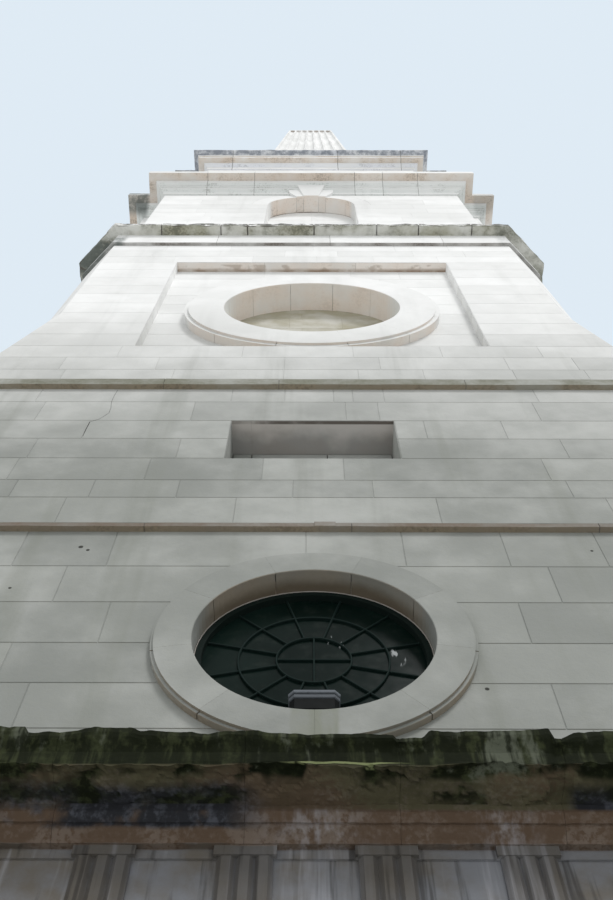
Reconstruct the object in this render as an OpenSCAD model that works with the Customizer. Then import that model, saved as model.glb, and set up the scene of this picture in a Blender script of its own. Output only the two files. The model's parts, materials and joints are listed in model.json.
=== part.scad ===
// Tall square clock tower of pale limestone, at half its real size.
// The origin is on the ground at the middle of the plan; the front with the door faces -Y.
// Each stage stands on the one below, so every height here is the height of one stage alone.

/* [Lower tower] */
// Width of the square lower tower, face to face
tower_w = 3216; // [3000:2:3500]
// Thickness of the lower walls
lower_wall_t = 600; // [540:10:660]
// Height between the two string courses
middle_stage_h = 1337; // [1200:1:1500]
// Height of the plinth
plinth_h = 450; // [350:5:550]
// How far the plinth stands out of the wall
plinth_out = 40; // [20:1:60]
// Height of the lower string course
lower_string_h = 60; // [50:1:80]
// How far the lower string course stands out
lower_string_out = 20; // [12:1:30]
// Height of the upper string course
upper_string_h = 90; // [80:1:120]
// How far the upper string course stands out
upper_string_out = 24; // [15:1:35]

/* [Door and steps] */
// Height of the floor and of the flight of steps
floor_z = 300; // [240:4:360]
// Number of steps
step_count = 4; // [3:1:5]
// Depth of a tread
tread_d = 150; // [130:5:180]
// Depth of the landing in front of the wall
landing_d = 330; // [320:5:400]
// Width of the doorway
door_w = 860; // [760:10:960]
// Height of the doorway above the floor
door_h = 1500; // [1400:10:1580]
// How far the doors stand back from the face of the wall
door_setback = 180; // [120:5:240]
// Thickness of a door leaf
leaf_t = 40; // [30:1:50]
// Width and depth of the timber door frame
frame_w = 50; // [40:1:70]

/* [Door surround] */
// Distance from one triglyph to the next
triglyph_pitch = 263; // [250:1:280]
// Number of triglyphs
triglyph_count = 6; // [6:2:6]
// Width of a triglyph
triglyph_w = 105; // [90:1:115]
// How far a triglyph stands out of the frieze
triglyph_out = 14; // [8:1:20]
// Height of a column with its base and capital
column_h = 1665; // [1620:5:1720]
// Diameter of a column at its foot
column_d = 210; // [190:2:230]
// How far the middle of a column is in front of the wall
column_front = 35; // [20:1:60]
// Height of the architrave
architrave_h = 105; // [90:1:130]
// Height of the frieze
frieze_h = 197; // [180:1:215]
// Height of the cornice over the door
door_cornice_h = 158; // [145:1:175]
// How far the frieze is in front of the wall
frieze_front = 130; // [120:1:150]
// How far the cornice over the door stands out of the frieze
door_cornice_out = 165; // [150:1:180]

/* [Round windows] */
// Diameter of the window opening
window_d = 664; // [604:4:724]
// Plain wall between the cornice over the door and the window's stone ring
door_to_window = 284; // [240:1:330]
// Plain wall between the window's stone ring and the lower string course
window_to_string = 182; // [150:1:240]
// Width of the stone ring round the window
window_ring_w = 109; // [95:1:122]
// How far the stone ring stands out
window_ring_out = 30; // [20:1:40]
// How far the glass stands back from the face of the wall
window_setback = 65; // [50:1:90]
// Width of the metal frame round the glass
window_frame_w = 24; // [18:1:32]
// Depth of the metal frame
window_frame_t = 20; // [14:1:28]
// Thickness of the glass
glass_t = 8; // [6:1:12]

/* [Deep panel] */
// Width of the deep panel over the window
panel_w = 670; // [600:5:740]
// Height of the deep panel
panel_h = 380; // [340:5:420]
// Height of the foot of the panel above the lower string course
panel_up = 587; // [560:1:620]
// Depth of the panel
panel_depth = 240; // [200:5:300]

/* [Recess stage] */
// Height of the stage with the square recess
recess_stage_h = 3060; // [2960:5:3160]
// Length of wall that each canted corner takes off a face
cant_leg = 220; // [180:2:260]
// Height of the sloped stop under each canted corner
cant_stop_h = 1065; // [900:5:1150]
// Height of the foot of the sloped stop above the upper string course
cant_stop_up = 50; // [20:2:90]
// Width of the square recess
recess_w = 1775; // [1600:5:1900]
// Height of the square recess
recess_h = 1785; // [1700:5:1850]
// Height of the foot of the square recess above the upper string course
recess_up = 535; // [500:5:600]
// Depth of the square recess
recess_depth = 63; // [50:1:80]
// Diameter of the round blind recess
dial_d = 1000; // [900:5:1100]
// Outer diameter of the round stone surround
dial_ring_d = 1445; // [1350:5:1550]
// Height of the middle of the round recess above the foot of the square recess
dial_up = 755; // [750:1:800]
// Depth of the round recess from the face of its surround
dial_depth = 170; // [140:2:200]
// Height of the band below the coping
fascia_h = 240; // [200:2:280]
// How far the band stands out of the wall
fascia_out = 22; // [15:1:30]
// Thickness of the coping
coping_t = 65; // [50:1:80]
// How far the coping stands out of the wall
coping_out = 90; // [75:1:110]

/* [Niche stage] */
// Height of the niche stage up to its cornice
niche_stage_h = 2085; // [2000:5:2200]
// How far the niche stage is set back from the face of the stage below
niche_setback = 63; // [50:1:90]
// Side of the square notch in each corner
niche_notch = 205; // [180:5:230]
// Thickness of the walls of the niche stage
niche_wall_t = 540; // [500:5:580]
// Width of the arched niche
niche_w = 760; // [700:5:820]
// Height from the coping to the foot of the niche
niche_up = 325; // [280:5:380]
// Height of the straight sides of the niche
niche_side_h = 1300; // [1200:5:1320]
// Depth of the niche
niche_depth = 140; // [110:2:180]
// Width of the middle keystone at the arch
key_w = 135; // [120:1:150]
// How far the middle keystone stands out
key_out = 60; // [50:1:70]
// Height of the cornice of the niche stage
niche_cornice_h = 365; // [340:1:390]
// How far the cornice of the niche stage stands out
niche_cornice_out = 168; // [150:1:185]

/* [Top stage] */
// Height of the top stage up to its cornice
top_stage_h = 2125; // [2000:5:2250]
// How far the top stage is set back from the niche stage
top_setback = 145; // [120:5:170]
// Side of the square notch in each corner of the top stage
top_notch = 230; // [200:5:250]
// Thickness of the walls of the top stage
top_wall_t = 540; // [500:5:570]
// Height of the cornice of the top stage
top_cornice_h = 300; // [280:1:330]
// How far the cornice of the top stage stands out
top_cornice_out = 185; // [165:1:200]

/* [Spire] */
// Width of the plinth under the spire
spire_plinth_w = 2080; // [2000:10:2200]
// Height of the plinth under the spire
spire_plinth_h = 250; // [200:10:320]
// Width of the spire at its foot
spire_foot_w = 1860; // [1800:5:1920]
// Width of the spire under its cap
spire_head_w = 895; // [840:5:950]
// Height of the fluted shaft of the spire
spire_shaft_h = 11650; // [11000:50:12200]
// Thickness of the wall of the spire
spire_wall_t = 190; // [170:5:210]
// Number of flutes on each face of the spire
flute_count = 7; // [5:1:9]
// Plain stone left above and below the flutes
flute_margin = 90; // [70:5:140]
// Height of the pointed cap
spire_cap_h = 1100; // [900:10:1300]

/* [Floors] */
// Thickness of the upper floor
upper_floor_t = 100; // [80:5:130]
// Height of the window opening above the upper floor
sill_above_floor = 318; // [250:1:380]
// Thickness of the slab under the spire
spire_slab_t = 200; // [150:5:250]

/* [Floodlight] */
// Width of the floodlight
lamp_w = 148; // [120:2:170]
// Height of the floodlight
lamp_h = 74; // [60:1:84]
// Depth of the floodlight
lamp_d = 62; // [50:1:80]

/* [Hidden] */
$fn = 96;
limestone = "gainsboro";
shaded_stone = "darkgray";
timber = "saddlebrown";
lead_grey = "slategray";

seat_gap = 0.3;
seat_in = 5;
tower_half = tower_w / 2;
inner_half = tower_half - lower_wall_t;
architrave_z = floor_z + column_h;
frieze_z = architrave_z + architrave_h;
door_cornice_z = frieze_z + frieze_h;
window_ring_r = window_d / 2 + window_ring_w;
window_z = door_cornice_z + door_cornice_h + door_to_window + window_ring_r;
sill_z = window_z - window_d / 2;
upper_floor_z = sill_z - sill_above_floor;
lower_string_z = window_z + window_ring_r + window_to_string;
upper_string_z = lower_string_z + middle_stage_h;
panel_z = lower_string_z + panel_up;
recess_z = upper_string_z + upper_string_h;
recess_foot_z = recess_z + recess_up;
dial_z = recess_foot_z + dial_up;
cant_foot_z = recess_z + cant_stop_up;
cant_face_half = (2 * tower_half - cant_leg) / sqrt(2);
coping_z = recess_z + recess_stage_h;
niche_z = coping_z + coping_t;
niche_half = tower_half - niche_setback;
niche_arm = niche_half - niche_notch;
niche_foot_z = niche_z + niche_up;
niche_spring_z = niche_foot_z + niche_side_h;
niche_crown_z = niche_spring_z + niche_w / 2;
niche_cornice_z = niche_z + niche_stage_h;
top_z = niche_cornice_z + niche_cornice_h;
top_half = niche_half - top_setback;
top_arm = top_half - top_notch;
top_inner_half = top_half - top_wall_t;
top_cornice_z = top_z + top_stage_h;
spire_z = top_cornice_z + top_cornice_h;
shaft_z = spire_z + spire_plinth_h;
cap_z = shaft_z + spire_shaft_h;
column_x = triglyph_pitch * (triglyph_count - 1) / 2;
steps_w = 2 * (column_x + column_d);
frieze_half = column_x + column_d / 2 - 2 * triglyph_out;
lamp_up = 16;
taenia_h = architrave_h * 0.15;
triglyph_cap_h = frieze_h * 0.117;
flute_share = 0.4;
flute_depth_share = 0.8;
flute_steps = 5;
past = 50;
far = 4 * tower_w;

// Profiles are lists of [distance out of the wall, height], read from the foot to the top.
function plinth_profile() = [
    [plinth_out, 0],
    [plinth_out, plinth_h - plinth_out],
    [0, plinth_h]];

function string_profile(out, h, face) = [
    [0, 0],
    [out, 0],
    [out, face],
    [0, h]];

function coping_profile() = [
    [fascia_out, -fascia_h],
    [fascia_out, 0],
    [coping_out, 0],
    [coping_out, coping_t - 8],
    [0, coping_t]];

// A big stone cornice: bed mouldings, a flat soffit, the upright corona and the crown.
function niche_cornice_profile(out, h) = [
    [0, 0],
    [out * 0.08, 0],
    [out * 0.08, h * 0.07],
    [out * 0.14, h * 0.12],
    [out * 0.27, h * 0.19],
    [out * 0.31, h * 0.25],
    [out * 0.36, h * 0.25],
    [out * 0.36, h * 0.33],
    [out * 0.42, h * 0.33],
    [out * 0.53, h * 0.39],
    [out * 0.58, h * 0.48],
    [out * 0.58, h * 0.575],
    [out, h * 0.575],
    [out, h * 0.8],
    [out * 0.97, h * 0.9],
    [0, h]];

function top_cornice_profile(out, h) = [
    [0, 0],
    [out * 0.07, 0],
    [out * 0.07, h * 0.1],
    [out * 0.12, h * 0.22],
    [out * 0.26, h * 0.32],
    [out * 0.32, h * 0.4],
    [out * 0.32, h * 0.5],
    [out * 0.65, h * 0.5],
    [out * 0.65, h * 0.68],
    [out * 0.7, h * 0.68],
    [out * 0.75, h * 0.78],
    [out * 0.92, h * 0.85],
    [out, h * 0.9],
    [out, h * 0.95],
    [0, h]];

function door_cornice_profile(out, h) = [
    [0, 0],
    [out * 0.12, 0],
    [out * 0.14, h * 0.05],
    [out * 0.24, h * 0.15],
    [out * 0.24, h * 0.18],
    [out * 0.27, h * 0.18],
    [out * 0.33, h * 0.29],
    [out * 0.33, h * 0.4],
    [out * 0.9, h * 0.4],
    [out * 0.9, h * 0.64],
    [out * 0.93, h * 0.72],
    [out * 0.98, h * 0.84],
    [out, h * 0.91],
    [out, h],
    [0, h]];

// The outline of a block with a profile down both its sides.
function block_outline(half, profile) = concat(
    [for (point = profile) [half + point[0], point[1]]],
    [for (i = [len(profile) - 1 : -1 : 0]) [-half - profile[i][0], profile[i][1]]]);

module moulded_block(half_x, half_y, profile) {
    intersection() {
        rotate([90, 0, 0])
            linear_extrude(far, center = true)
                polygon(block_outline(half_x, profile));
        rotate([90, 0, 90])
            linear_extrude(far, center = true)
                polygon(block_outline(half_y, profile));
    }
}

module cross_moulding(half, arm, profile) {
    moulded_block(half, arm, profile);
    moulded_block(arm, half, profile);
}

module canted_moulding(half, canted_half, profile) {
    intersection() {
        moulded_block(half, half, profile);
        rotate([0, 0, 45])
            moulded_block(canted_half, canted_half, profile);
    }
}

module shaft_hole(half, low, high) {
    translate([-half, -half, low])
        cube([2 * half, 2 * half, high - low]);
}

module on_face(turn) {
    rotate([0, 0, 90 * turn])
        children();
}

// The wall of one face: the front and back reach the corners, the sides fit between them.
module face_slab(half, wall_t, low, h, turn) {
    reach = turn % 2 == 0 ? half : half - wall_t;
    translate([-reach, -half, low])
        cube([2 * reach, wall_t, h]);
}

module across(x, y, z, size) {
    translate([x - size[0] / 2, y, z])
        cube(size);
}

module round_cut(half, d, z, low, high) {
    translate([0, -half + low, z])
        rotate([-90, 0, 0])
            cylinder(h = high - low, d = d);
}

module lower_wall(turn) {
    on_face(turn)
        difference() {
            face_slab(tower_half, lower_wall_t, 0, recess_z, turn);
            round_cut(tower_half, window_d, window_z, -past, lower_wall_t + past);
            across(0, -tower_half - past, panel_z, [panel_w, panel_depth + past, panel_h]);
            if (turn == 0)
                across(0, -tower_half - past, floor_z, [door_w, lower_wall_t + 2 * past, door_h]);
        }
}

module front_wall() {
    color(limestone)
        lower_wall(0);
}

module right_wall() {
    color(limestone)
        lower_wall(1);
}

module back_wall() {
    color(limestone)
        lower_wall(2);
}

module left_wall() {
    color(limestone)
        lower_wall(3);
}

// The steps and the feet of the columns stand where the plinth is left out.
module plinth_stones() {
    difference() {
        moulded_block(tower_half, tower_half, plinth_profile());
        shaft_hole(tower_half, -past, plinth_h + past);
        across(0, -tower_half - 2 * plinth_out, -past,
            [steps_w, 3 * plinth_out, plinth_h + 2 * past]);
    }
}

module plinth() {
    color(shaded_stone)
        plinth_stones();
}

module string_course(out, h, face, z) {
    color(limestone)
        translate([0, 0, z])
            difference() {
                moulded_block(tower_half, tower_half, string_profile(out, h, face));
                shaft_hole(tower_half, -past, h + past);
            }
}

module lower_string() {
    string_course(lower_string_out, lower_string_h, lower_string_h / 3, lower_string_z);
}

module upper_string() {
    string_course(upper_string_out, upper_string_h, upper_string_h * 0.72, upper_string_z);
}

// The square lower tower becomes canted above: each corner is cut upright, over a sloped stop.
module canted_corners() {
    slope = atan(cant_leg / sqrt(2) / cant_stop_h);
    for (corner = [0 : 3])
        rotate([0, 0, 45 + 90 * corner]) {
            translate([cant_face_half, -tower_half, cant_foot_z + cant_stop_h])
                cube([tower_half, tower_w, recess_stage_h]);
            translate([cant_face_half, 0, cant_foot_z + cant_stop_h])
                rotate([0, -slope, 0])
                    translate([0, -tower_half, -2 * cant_stop_h])
                        cube([tower_half, tower_w, 2 * cant_stop_h]);
        }
}

module recess_wall(turn) {
    color(limestone)
        difference() {
            on_face(turn)
                difference() {
                    face_slab(tower_half, lower_wall_t, recess_z, recess_stage_h, turn);
                    across(0, -tower_half - past, recess_foot_z,
                        [recess_w, recess_depth + past, recess_h]);
                    round_cut(tower_half, dial_d, dial_z, 0, dial_depth);
                }
            canted_corners();
        }
}

module front_recess_wall() {
    recess_wall(0);
}

module right_recess_wall() {
    recess_wall(1);
}

module back_recess_wall() {
    recess_wall(2);
}

module left_recess_wall() {
    recess_wall(3);
}

// A flat stone ring in each square recess, with a thin step round its edge.
module round_surround() {
    edge_w = dial_ring_d / 60;
    translate([0, -tower_half + recess_depth, dial_z])
        rotate([90, 0, 0])
            difference() {
                union() {
                    cylinder(h = recess_depth, d = dial_ring_d - 2 * edge_w);
                    cylinder(h = recess_depth * 0.8, d = dial_ring_d);
                }
                translate([0, 0, -past])
                    cylinder(h = recess_depth + 2 * past, d = dial_d);
            }
}

module round_surrounds() {
    color(limestone)
        for (turn = [0 : 3])
            on_face(turn)
                round_surround();
}

module coping() {
    color(limestone)
        translate([0, 0, coping_z])
            difference() {
                canted_moulding(tower_half, cant_face_half, coping_profile());
                translate([0, 0, -fascia_h - past])
                    linear_extrude(fascia_h + past)
                        intersection() {
                            square(tower_w, center = true);
                            rotate(45)
                                square(2 * cant_face_half, center = true);
                        }
                shaft_hole(inner_half, -past, coping_t + past);
            }
}

module cross_wall(half, arm, wall_t, low, h, turn) {
    intersection() {
        face_slab(half, wall_t, low, h, turn);
        union() {
            across(0, -half, low, [2 * arm, 2 * half, h]);
            across(0, -arm, low, [2 * half, 2 * arm, h]);
        }
    }
}

module niche_cut() {
    across(0, -niche_half - past, niche_foot_z, [niche_w, niche_depth + past, niche_side_h]);
    round_cut(niche_half, niche_w, niche_spring_z, -past, niche_depth);
}

module niche_wall(turn) {
    color(limestone)
        on_face(turn)
            difference() {
                cross_wall(niche_half, niche_arm, niche_wall_t, niche_z, niche_stage_h, turn);
                niche_cut();
            }
}

module front_niche_wall() {
    niche_wall(0);
}

module right_niche_wall() {
    niche_wall(1);
}

module back_niche_wall() {
    niche_wall(2);
}

module left_niche_wall() {
    niche_wall(3);
}

// Three wedge stones over the niche that break up across the bed mouldings of the cornice.
module key_wedge(foot_w, head_w, out) {
    key_h = niche_cornice_z + niche_cornice_h * 0.575 - niche_crown_z;
    translate([0, -niche_half, niche_crown_z])
        rotate([90, 0, 0])
            linear_extrude(out)
                polygon([
                    [-foot_w / 2, 0],
                    [foot_w / 2, 0],
                    [head_w / 2, key_h],
                    [-head_w / 2, key_h]]);
}

module triple_keystone() {
    key_wedge(key_w, key_w * 1.6, key_out);
    key_wedge(key_w * 1.95, key_w * 3, key_out * 0.7);
}

module keystones() {
    color(limestone)
        for (turn = [0 : 3])
            on_face(turn)
                triple_keystone();
}

module niche_cornice() {
    profile = niche_cornice_profile(niche_cornice_out, niche_cornice_h);
    color(limestone)
        difference() {
            translate([0, 0, niche_cornice_z])
                cross_moulding(niche_half, niche_arm, profile);
            shaft_hole(top_inner_half, niche_cornice_z - past, top_z + past);
            for (turn = [0 : 3])
                on_face(turn)
                    triple_keystone();
        }
}

module top_wall(turn) {
    color(limestone)
        on_face(turn)
            cross_wall(top_half, top_arm, top_wall_t, top_z, top_stage_h, turn);
}

module front_top_wall() {
    top_wall(0);
}

module right_top_wall() {
    top_wall(1);
}

module back_top_wall() {
    top_wall(2);
}

module left_top_wall() {
    top_wall(3);
}

module top_cornice() {
    color(limestone)
        translate([0, 0, top_cornice_z])
            difference() {
                cross_moulding(top_half, top_arm,
                    top_cornice_profile(top_cornice_out, top_cornice_h));
                shaft_hole(top_inner_half, -past, top_cornice_h + past);
            }
}

module spire_slab() {
    color(shaded_stone)
        shaft_hole(top_inner_half, spire_z - spire_slab_t, spire_z);
}

module spire_plinth() {
    plinth_half = spire_plinth_w / 2;
    color(limestone)
        difference() {
            shaft_hole(plinth_half, spire_z, shaft_z);
            shaft_hole(spire_foot_w / 2 - spire_wall_t, spire_z - past, shaft_z + past);
        }
}

module battered_block(foot_half, head_half, low, high) {
    translate([0, 0, low])
        moulded_block(0, 0, [[foot_half, 0], [head_half, high - low]]);
}

// The spire's outline at one height, with each flute open by a share of its full radius.
function spire_half(z) =
    (spire_foot_w + (spire_head_w - spire_foot_w) * (z - shaft_z) / spire_shaft_h) / 2;

function flute_radius(z) = 2 * spire_half(z) / (flute_count + 0.25) * flute_share;

function turned(point, turn) =
    turn == 0 ? point :
    turn == 1 ? [-point[1], point[0]] :
    turn == 2 ? [-point[0], -point[1]] :
    [point[1], -point[0]];

function flute_arc(place, z, open, deep) =
    let (radius = flute_radius(z) * open, middle = place * flute_radius(z) / flute_share)
    [for (i = [0 : flute_steps])
        let (angle = 180 * i / flute_steps)
        [middle - radius * cos(angle), deep * radius * sin(angle) - spire_half(z)]];

function face_points(z, open, deep) = concat(
    [[-spire_half(z), -spire_half(z)]],
    [for (i = [0 : flute_count - 1])
        each flute_arc(i - (flute_count - 1) / 2, z, open, deep)]);

function spire_ring(level) =
    [for (turn = [0 : 3])
        for (point = face_points(level[0], level[1], level[2]))
            let (place = turned(point, turn))
            [place[0], place[1], level[0]]];

// A flute ends in a quarter ball: its radius falls off as the circle of the stop does.
function stop_level(z, t, way) =
    t == 1 ? [z + way * flute_radius(z), 0.1, 0] :
    [z + way * t * flute_radius(z), sqrt(1 - t * t), flute_depth_share];

// The hollow shaft with its flutes: rings of points from its foot to its head, and a plain inside.
module fluted_shaft() {
    low = shaft_z + flute_margin + flute_radius(shaft_z);
    high = cap_z - flute_margin - flute_radius(cap_z);
    steps = [1, 0.96, 0.8, 0.5, 0];
    levels = concat(
        [[shaft_z, 0.1, 0]],
        [for (t = steps) stop_level(low, t, -1)],
        [for (i = [len(steps) - 1 : -1 : 0]) stop_level(high, steps[i], 1)],
        [[cap_z, 0.1, 0]]);
    side = 1 + flute_count * (flute_steps + 1);
    around = 4 * side;
    top = around * (len(levels) - 1);
    inner = around * len(levels);
    inner_ring = function (z)
        let (half = spire_half(z) - spire_wall_t)
        [[-half, -half, z], [half, -half, z], [half, half, z], [-half, half, z]];
    polyhedron(
        concat(
            [for (level = levels) each spire_ring(level)],
            inner_ring(shaft_z),
            inner_ring(cap_z)),
        concat(
            [for (k = [0 : len(levels) - 2], i = [0 : around - 1])
                let (next = (i + 1) % around, low_row = k * around, high_row = low_row + around)
                [low_row + i, high_row + i, high_row + next, low_row + next]],
            [for (k = [0 : 3])
                let (next = (k + 1) % 4)
                [inner + next, inner + 4 + next, inner + 4 + k, inner + k]],
            [for (k = [0 : 3])
                let (next = (k + 1) % 4)
                concat(
                    [inner + k],
                    [for (i = [0 : side]) (k * side + i) % around],
                    [inner + next])],
            [for (k = [0 : 3])
                let (next = (k + 1) % 4)
                concat(
                    [inner + 4 + next],
                    [for (i = [side : -1 : 0]) top + (k * side + i) % around],
                    [inner + 4 + k])]));
}

module spire_shaft() {
    color(limestone)
        fluted_shaft();
}

module spire_cap() {
    tip = spire_head_w / 30;
    color(limestone)
        battered_block(spire_head_w / 2, tip, cap_z, cap_z + spire_cap_h);
}

module ground_floor() {
    color(shaded_stone)
        shaft_hole(inner_half, 0, floor_z);
}

module upper_floor() {
    color(timber)
        shaft_hole(inner_half, upper_floor_z - upper_floor_t, upper_floor_z);
}

// Steps on three sides of a landing, cut round the plinth.
module door_steps() {
    riser = floor_z / step_count;
    color(shaded_stone)
        difference() {
            for (i = [0 : step_count - 1])
                across(0, -tower_half - landing_d - i * tread_d, 0,
                    [steps_w + 2 * i * tread_d, landing_d + i * tread_d, floor_z - i * riser]);
            plinth_stones();
        }
}

// An attached column: base, tapered shaft, neck ring and round capital under a square block.
module column(side) {
    foot_r = column_d / 2;
    neck_r = foot_r * 0.86;
    base_h = foot_r;
    cap_h = foot_r;
    block_w = foot_r * 2.7;
    color(limestone)
        intersection() {
            translate([side * column_x, -tower_half - column_front, floor_z]) {
                across(0, -block_w / 2, 0, [block_w, block_w, base_h * 0.5]);
                rotate_extrude()
                    polygon([
                        [0, 0],
                        [foot_r * 1.25, 0],
                        [foot_r * 1.25, base_h * 0.5],
                        [foot_r * 1.3, base_h * 0.6],
                        [foot_r * 1.3, base_h * 0.75],
                        [foot_r * 1.2, base_h * 0.85],
                        [foot_r * 1.08, base_h * 0.88],
                        [foot_r * 1.08, base_h * 0.95],
                        [foot_r, base_h * 1.15],
                        [foot_r * 0.98, column_h * 0.4],
                        [neck_r, column_h - cap_h * 1.6],
                        [neck_r * 1.1, column_h - cap_h * 1.5],
                        [neck_r * 1.1, column_h - cap_h * 1.4],
                        [neck_r, column_h - cap_h * 1.35],
                        [neck_r, column_h - cap_h * 0.8],
                        [neck_r * 1.08, column_h - cap_h * 0.7],
                        [neck_r * 1.28, column_h - cap_h * 0.45],
                        [neck_r * 1.28, column_h],
                        [0, column_h]]);
                across(0, -block_w / 2, column_h - cap_h * 0.4, [block_w, block_w, cap_h * 0.4]);
            }
            across(side * column_x, -tower_half - tower_w, floor_z, [tower_w, tower_w, column_h]);
        }
}

module left_column() {
    column(-1);
}

module right_column() {
    column(1);
}

// Everything over the columns is a block on the wall with a profile on its front and ends.
module wall_block(profile, z) {
    color(limestone)
        intersection() {
            translate([0, -tower_half, z])
                moulded_block(frieze_half, frieze_front, profile);
            across(0, -tower_half - tower_w, 0, [2 * tower_w, tower_w, 2 * tower_w]);
        }
}

module each_triglyph() {
    for (i = [0 : triglyph_count - 1])
        translate([(i - (triglyph_count - 1) / 2) * triglyph_pitch, 0, 0])
            children();
}

// Under each triglyph a short fillet hangs from the top band of the architrave, with six drops.
module drops() {
    drop_pitch = triglyph_w / 6;
    fillet_h = taenia_h * 0.6;
    drop_h = drop_pitch * 0.75;
    fillet_z = frieze_z - taenia_h - fillet_h;
    across(0, -tower_half - frieze_front - triglyph_out * 0.9, fillet_z,
        [triglyph_w, triglyph_out * 0.9 + seat_in, fillet_h]);
    for (i = [0 : 5])
        translate([(i - 2.5) * drop_pitch, -tower_half - frieze_front - triglyph_out * 0.3, fillet_z - drop_h])
            cylinder(h = drop_h + taenia_h * 0.3, d = drop_pitch * 0.66, $fn = 24);
}

module door_architrave() {
    color(limestone) {
        wall_block([
            [0, 0],
            [0, architrave_h - taenia_h],
            [triglyph_out, architrave_h - taenia_h],
            [triglyph_out, architrave_h]], architrave_z);
        each_triglyph()
            drops();
    }
}

// A triglyph is a raised block with two V grooves and a half groove down each edge, under a cap.
function triglyph_outline() =
    let (step = triglyph_w / 12, front = -triglyph_out, deep = step * 0.9 - triglyph_out)
    [
        [-6 * step, seat_in],
        [-6 * step, deep],
        [-5 * step, front],
        [-3 * step, front],
        [-2 * step, deep],
        [-step, front],
        [step, front],
        [2 * step, deep],
        [3 * step, front],
        [5 * step, front],
        [6 * step, deep],
        [6 * step, seat_in]];

module triglyph() {
    translate([0, -tower_half - frieze_front, frieze_z]) {
        linear_extrude(frieze_h - triglyph_cap_h)
            polygon(triglyph_outline());
        across(0, -triglyph_out * 1.2, frieze_h - triglyph_cap_h,
            [triglyph_w * 1.12, triglyph_out * 1.2 + seat_in, triglyph_cap_h]);
    }
}

module triglyph_frieze() {
    band_out = triglyph_out * 0.4;
    color(limestone) {
        wall_block([
            [0, 0],
            [0, frieze_h - triglyph_cap_h],
            [band_out, frieze_h - triglyph_cap_h],
            [band_out, frieze_h]], frieze_z);
        each_triglyph()
            triglyph();
    }
}

module door_cornice() {
    wall_block(door_cornice_profile(door_cornice_out, door_cornice_h), door_cornice_z);
}

module door_frame() {
    color(timber)
        difference() {
            across(0, -tower_half + door_setback, floor_z, [door_w, frame_w, door_h]);
            across(0, -tower_half + door_setback - past, floor_z - past,
                [door_w - 2 * frame_w, frame_w + 2 * past, door_h - frame_w + past]);
        }
}

module door_leaf(side) {
    leaf_w = door_w / 2 - frame_w - 1.5 * seat_gap;
    leaf_h = door_h - frame_w - 2 * seat_gap;
    stile = leaf_w * 0.2;
    field_w = leaf_w - 2 * stile;
    field_h = (leaf_h - 4 * stile) / 3;
    color(timber)
        translate([side * (leaf_w + seat_gap) / 2, -tower_half + door_setback, floor_z + seat_gap])
            difference() {
                across(0, 0, 0, [leaf_w, leaf_t, leaf_h]);
                for (i = [0 : 2])
                    across(0, -past, stile + i * (field_h + stile), [field_w, past + leaf_t * 0.3, field_h]);
            }
}

module left_door() {
    door_leaf(-1);
}

module right_door() {
    door_leaf(1);
}

module window_ring() {
    outer_d = 2 * window_ring_r;
    edge_w = window_ring_w * 0.08;
    translate([0, -tower_half, window_z])
        rotate([90, 0, 0])
            difference() {
                union() {
                    cylinder(h = window_ring_out, d = outer_d - 2 * edge_w);
                    cylinder(h = window_ring_out * 0.7, d = outer_d);
                }
                translate([0, 0, -past])
                    cylinder(h = window_ring_out + 2 * past, d = window_d);
            }
}

module window_rings() {
    color(limestone)
        for (turn = [0 : 3])
            on_face(turn)
                window_ring();
}

module window_frames() {
    outer_d = window_d - 2 * seat_gap;
    color(lead_grey)
        for (turn = [0 : 3])
            on_face(turn)
                translate([0, -tower_half + window_setback, window_z])
                    rotate([90, 0, 0])
                        difference() {
                            cylinder(h = window_frame_t, d = outer_d);
                            translate([0, 0, -past])
                                cylinder(h = window_frame_t + 2 * past, d = outer_d - 2 * window_frame_w);
                        }
}

module window_glass() {
    color("darkslategray", 0.5)
        for (turn = [0 : 3])
            on_face(turn)
                round_cut(tower_half, window_d - 2 * seat_gap, window_z, window_setback,
                    window_setback + glass_t);
}

// A louvred lamp on a bent bracket, on the sill of the front window.
module floodlight() {
    color("silver")
        translate([0, -tower_half - window_ring_out + 6, sill_z + lamp_up])
            difference() {
                across(0, 0, 0, [lamp_w, lamp_d, lamp_h]);
                for (i = [0 : 3])
                    across(0, -past, lamp_h * (0.16 + 0.2 * i), [lamp_w * 0.86, past + 8, lamp_h * 0.1]);
            }
}

module floodlight_bracket() {
    color(lead_grey)
        intersection() {
            across(0, -tower_half - window_ring_out + 16, sill_z - past, [lamp_w * 0.5, 36, lamp_up + past]);
            round_cut(tower_half, window_d - 2 * seat_gap, window_z, -window_ring_out, window_setback);
        }
}

front_wall();
right_wall();
back_wall();
left_wall();
plinth();
lower_string();
upper_string();
front_recess_wall();
right_recess_wall();
back_recess_wall();
left_recess_wall();
round_surrounds();
coping();
front_niche_wall();
right_niche_wall();
back_niche_wall();
left_niche_wall();
keystones();
niche_cornice();
front_top_wall();
right_top_wall();
back_top_wall();
left_top_wall();
top_cornice();
spire_slab();
spire_plinth();
spire_shaft();
spire_cap();
ground_floor();
upper_floor();
door_steps();
left_column();
right_column();
door_architrave();
triglyph_frieze();
door_cornice();
door_frame();
left_door();
right_door();
window_rings();
window_frames();
window_glass();
floodlight();
floodlight_bracket();
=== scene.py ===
# %% [markdown]
# # Dressing a stone clock tower
#
# The tower's walls, cornices, windows and doors arrive as plain solids. This notebook lays real
# stones over them, replaces the pieces whose edges are worn, and gives each surface its finish:
# pale limestone, grey with painted shade low down and white with painted sunlight high up, brown
# stains under every ledge, moss on the ledge over the door.

# %% Load the frame
import json
import math
import random

import bpy
import bmesh
from mathutils import Matrix, Vector, noise


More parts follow.
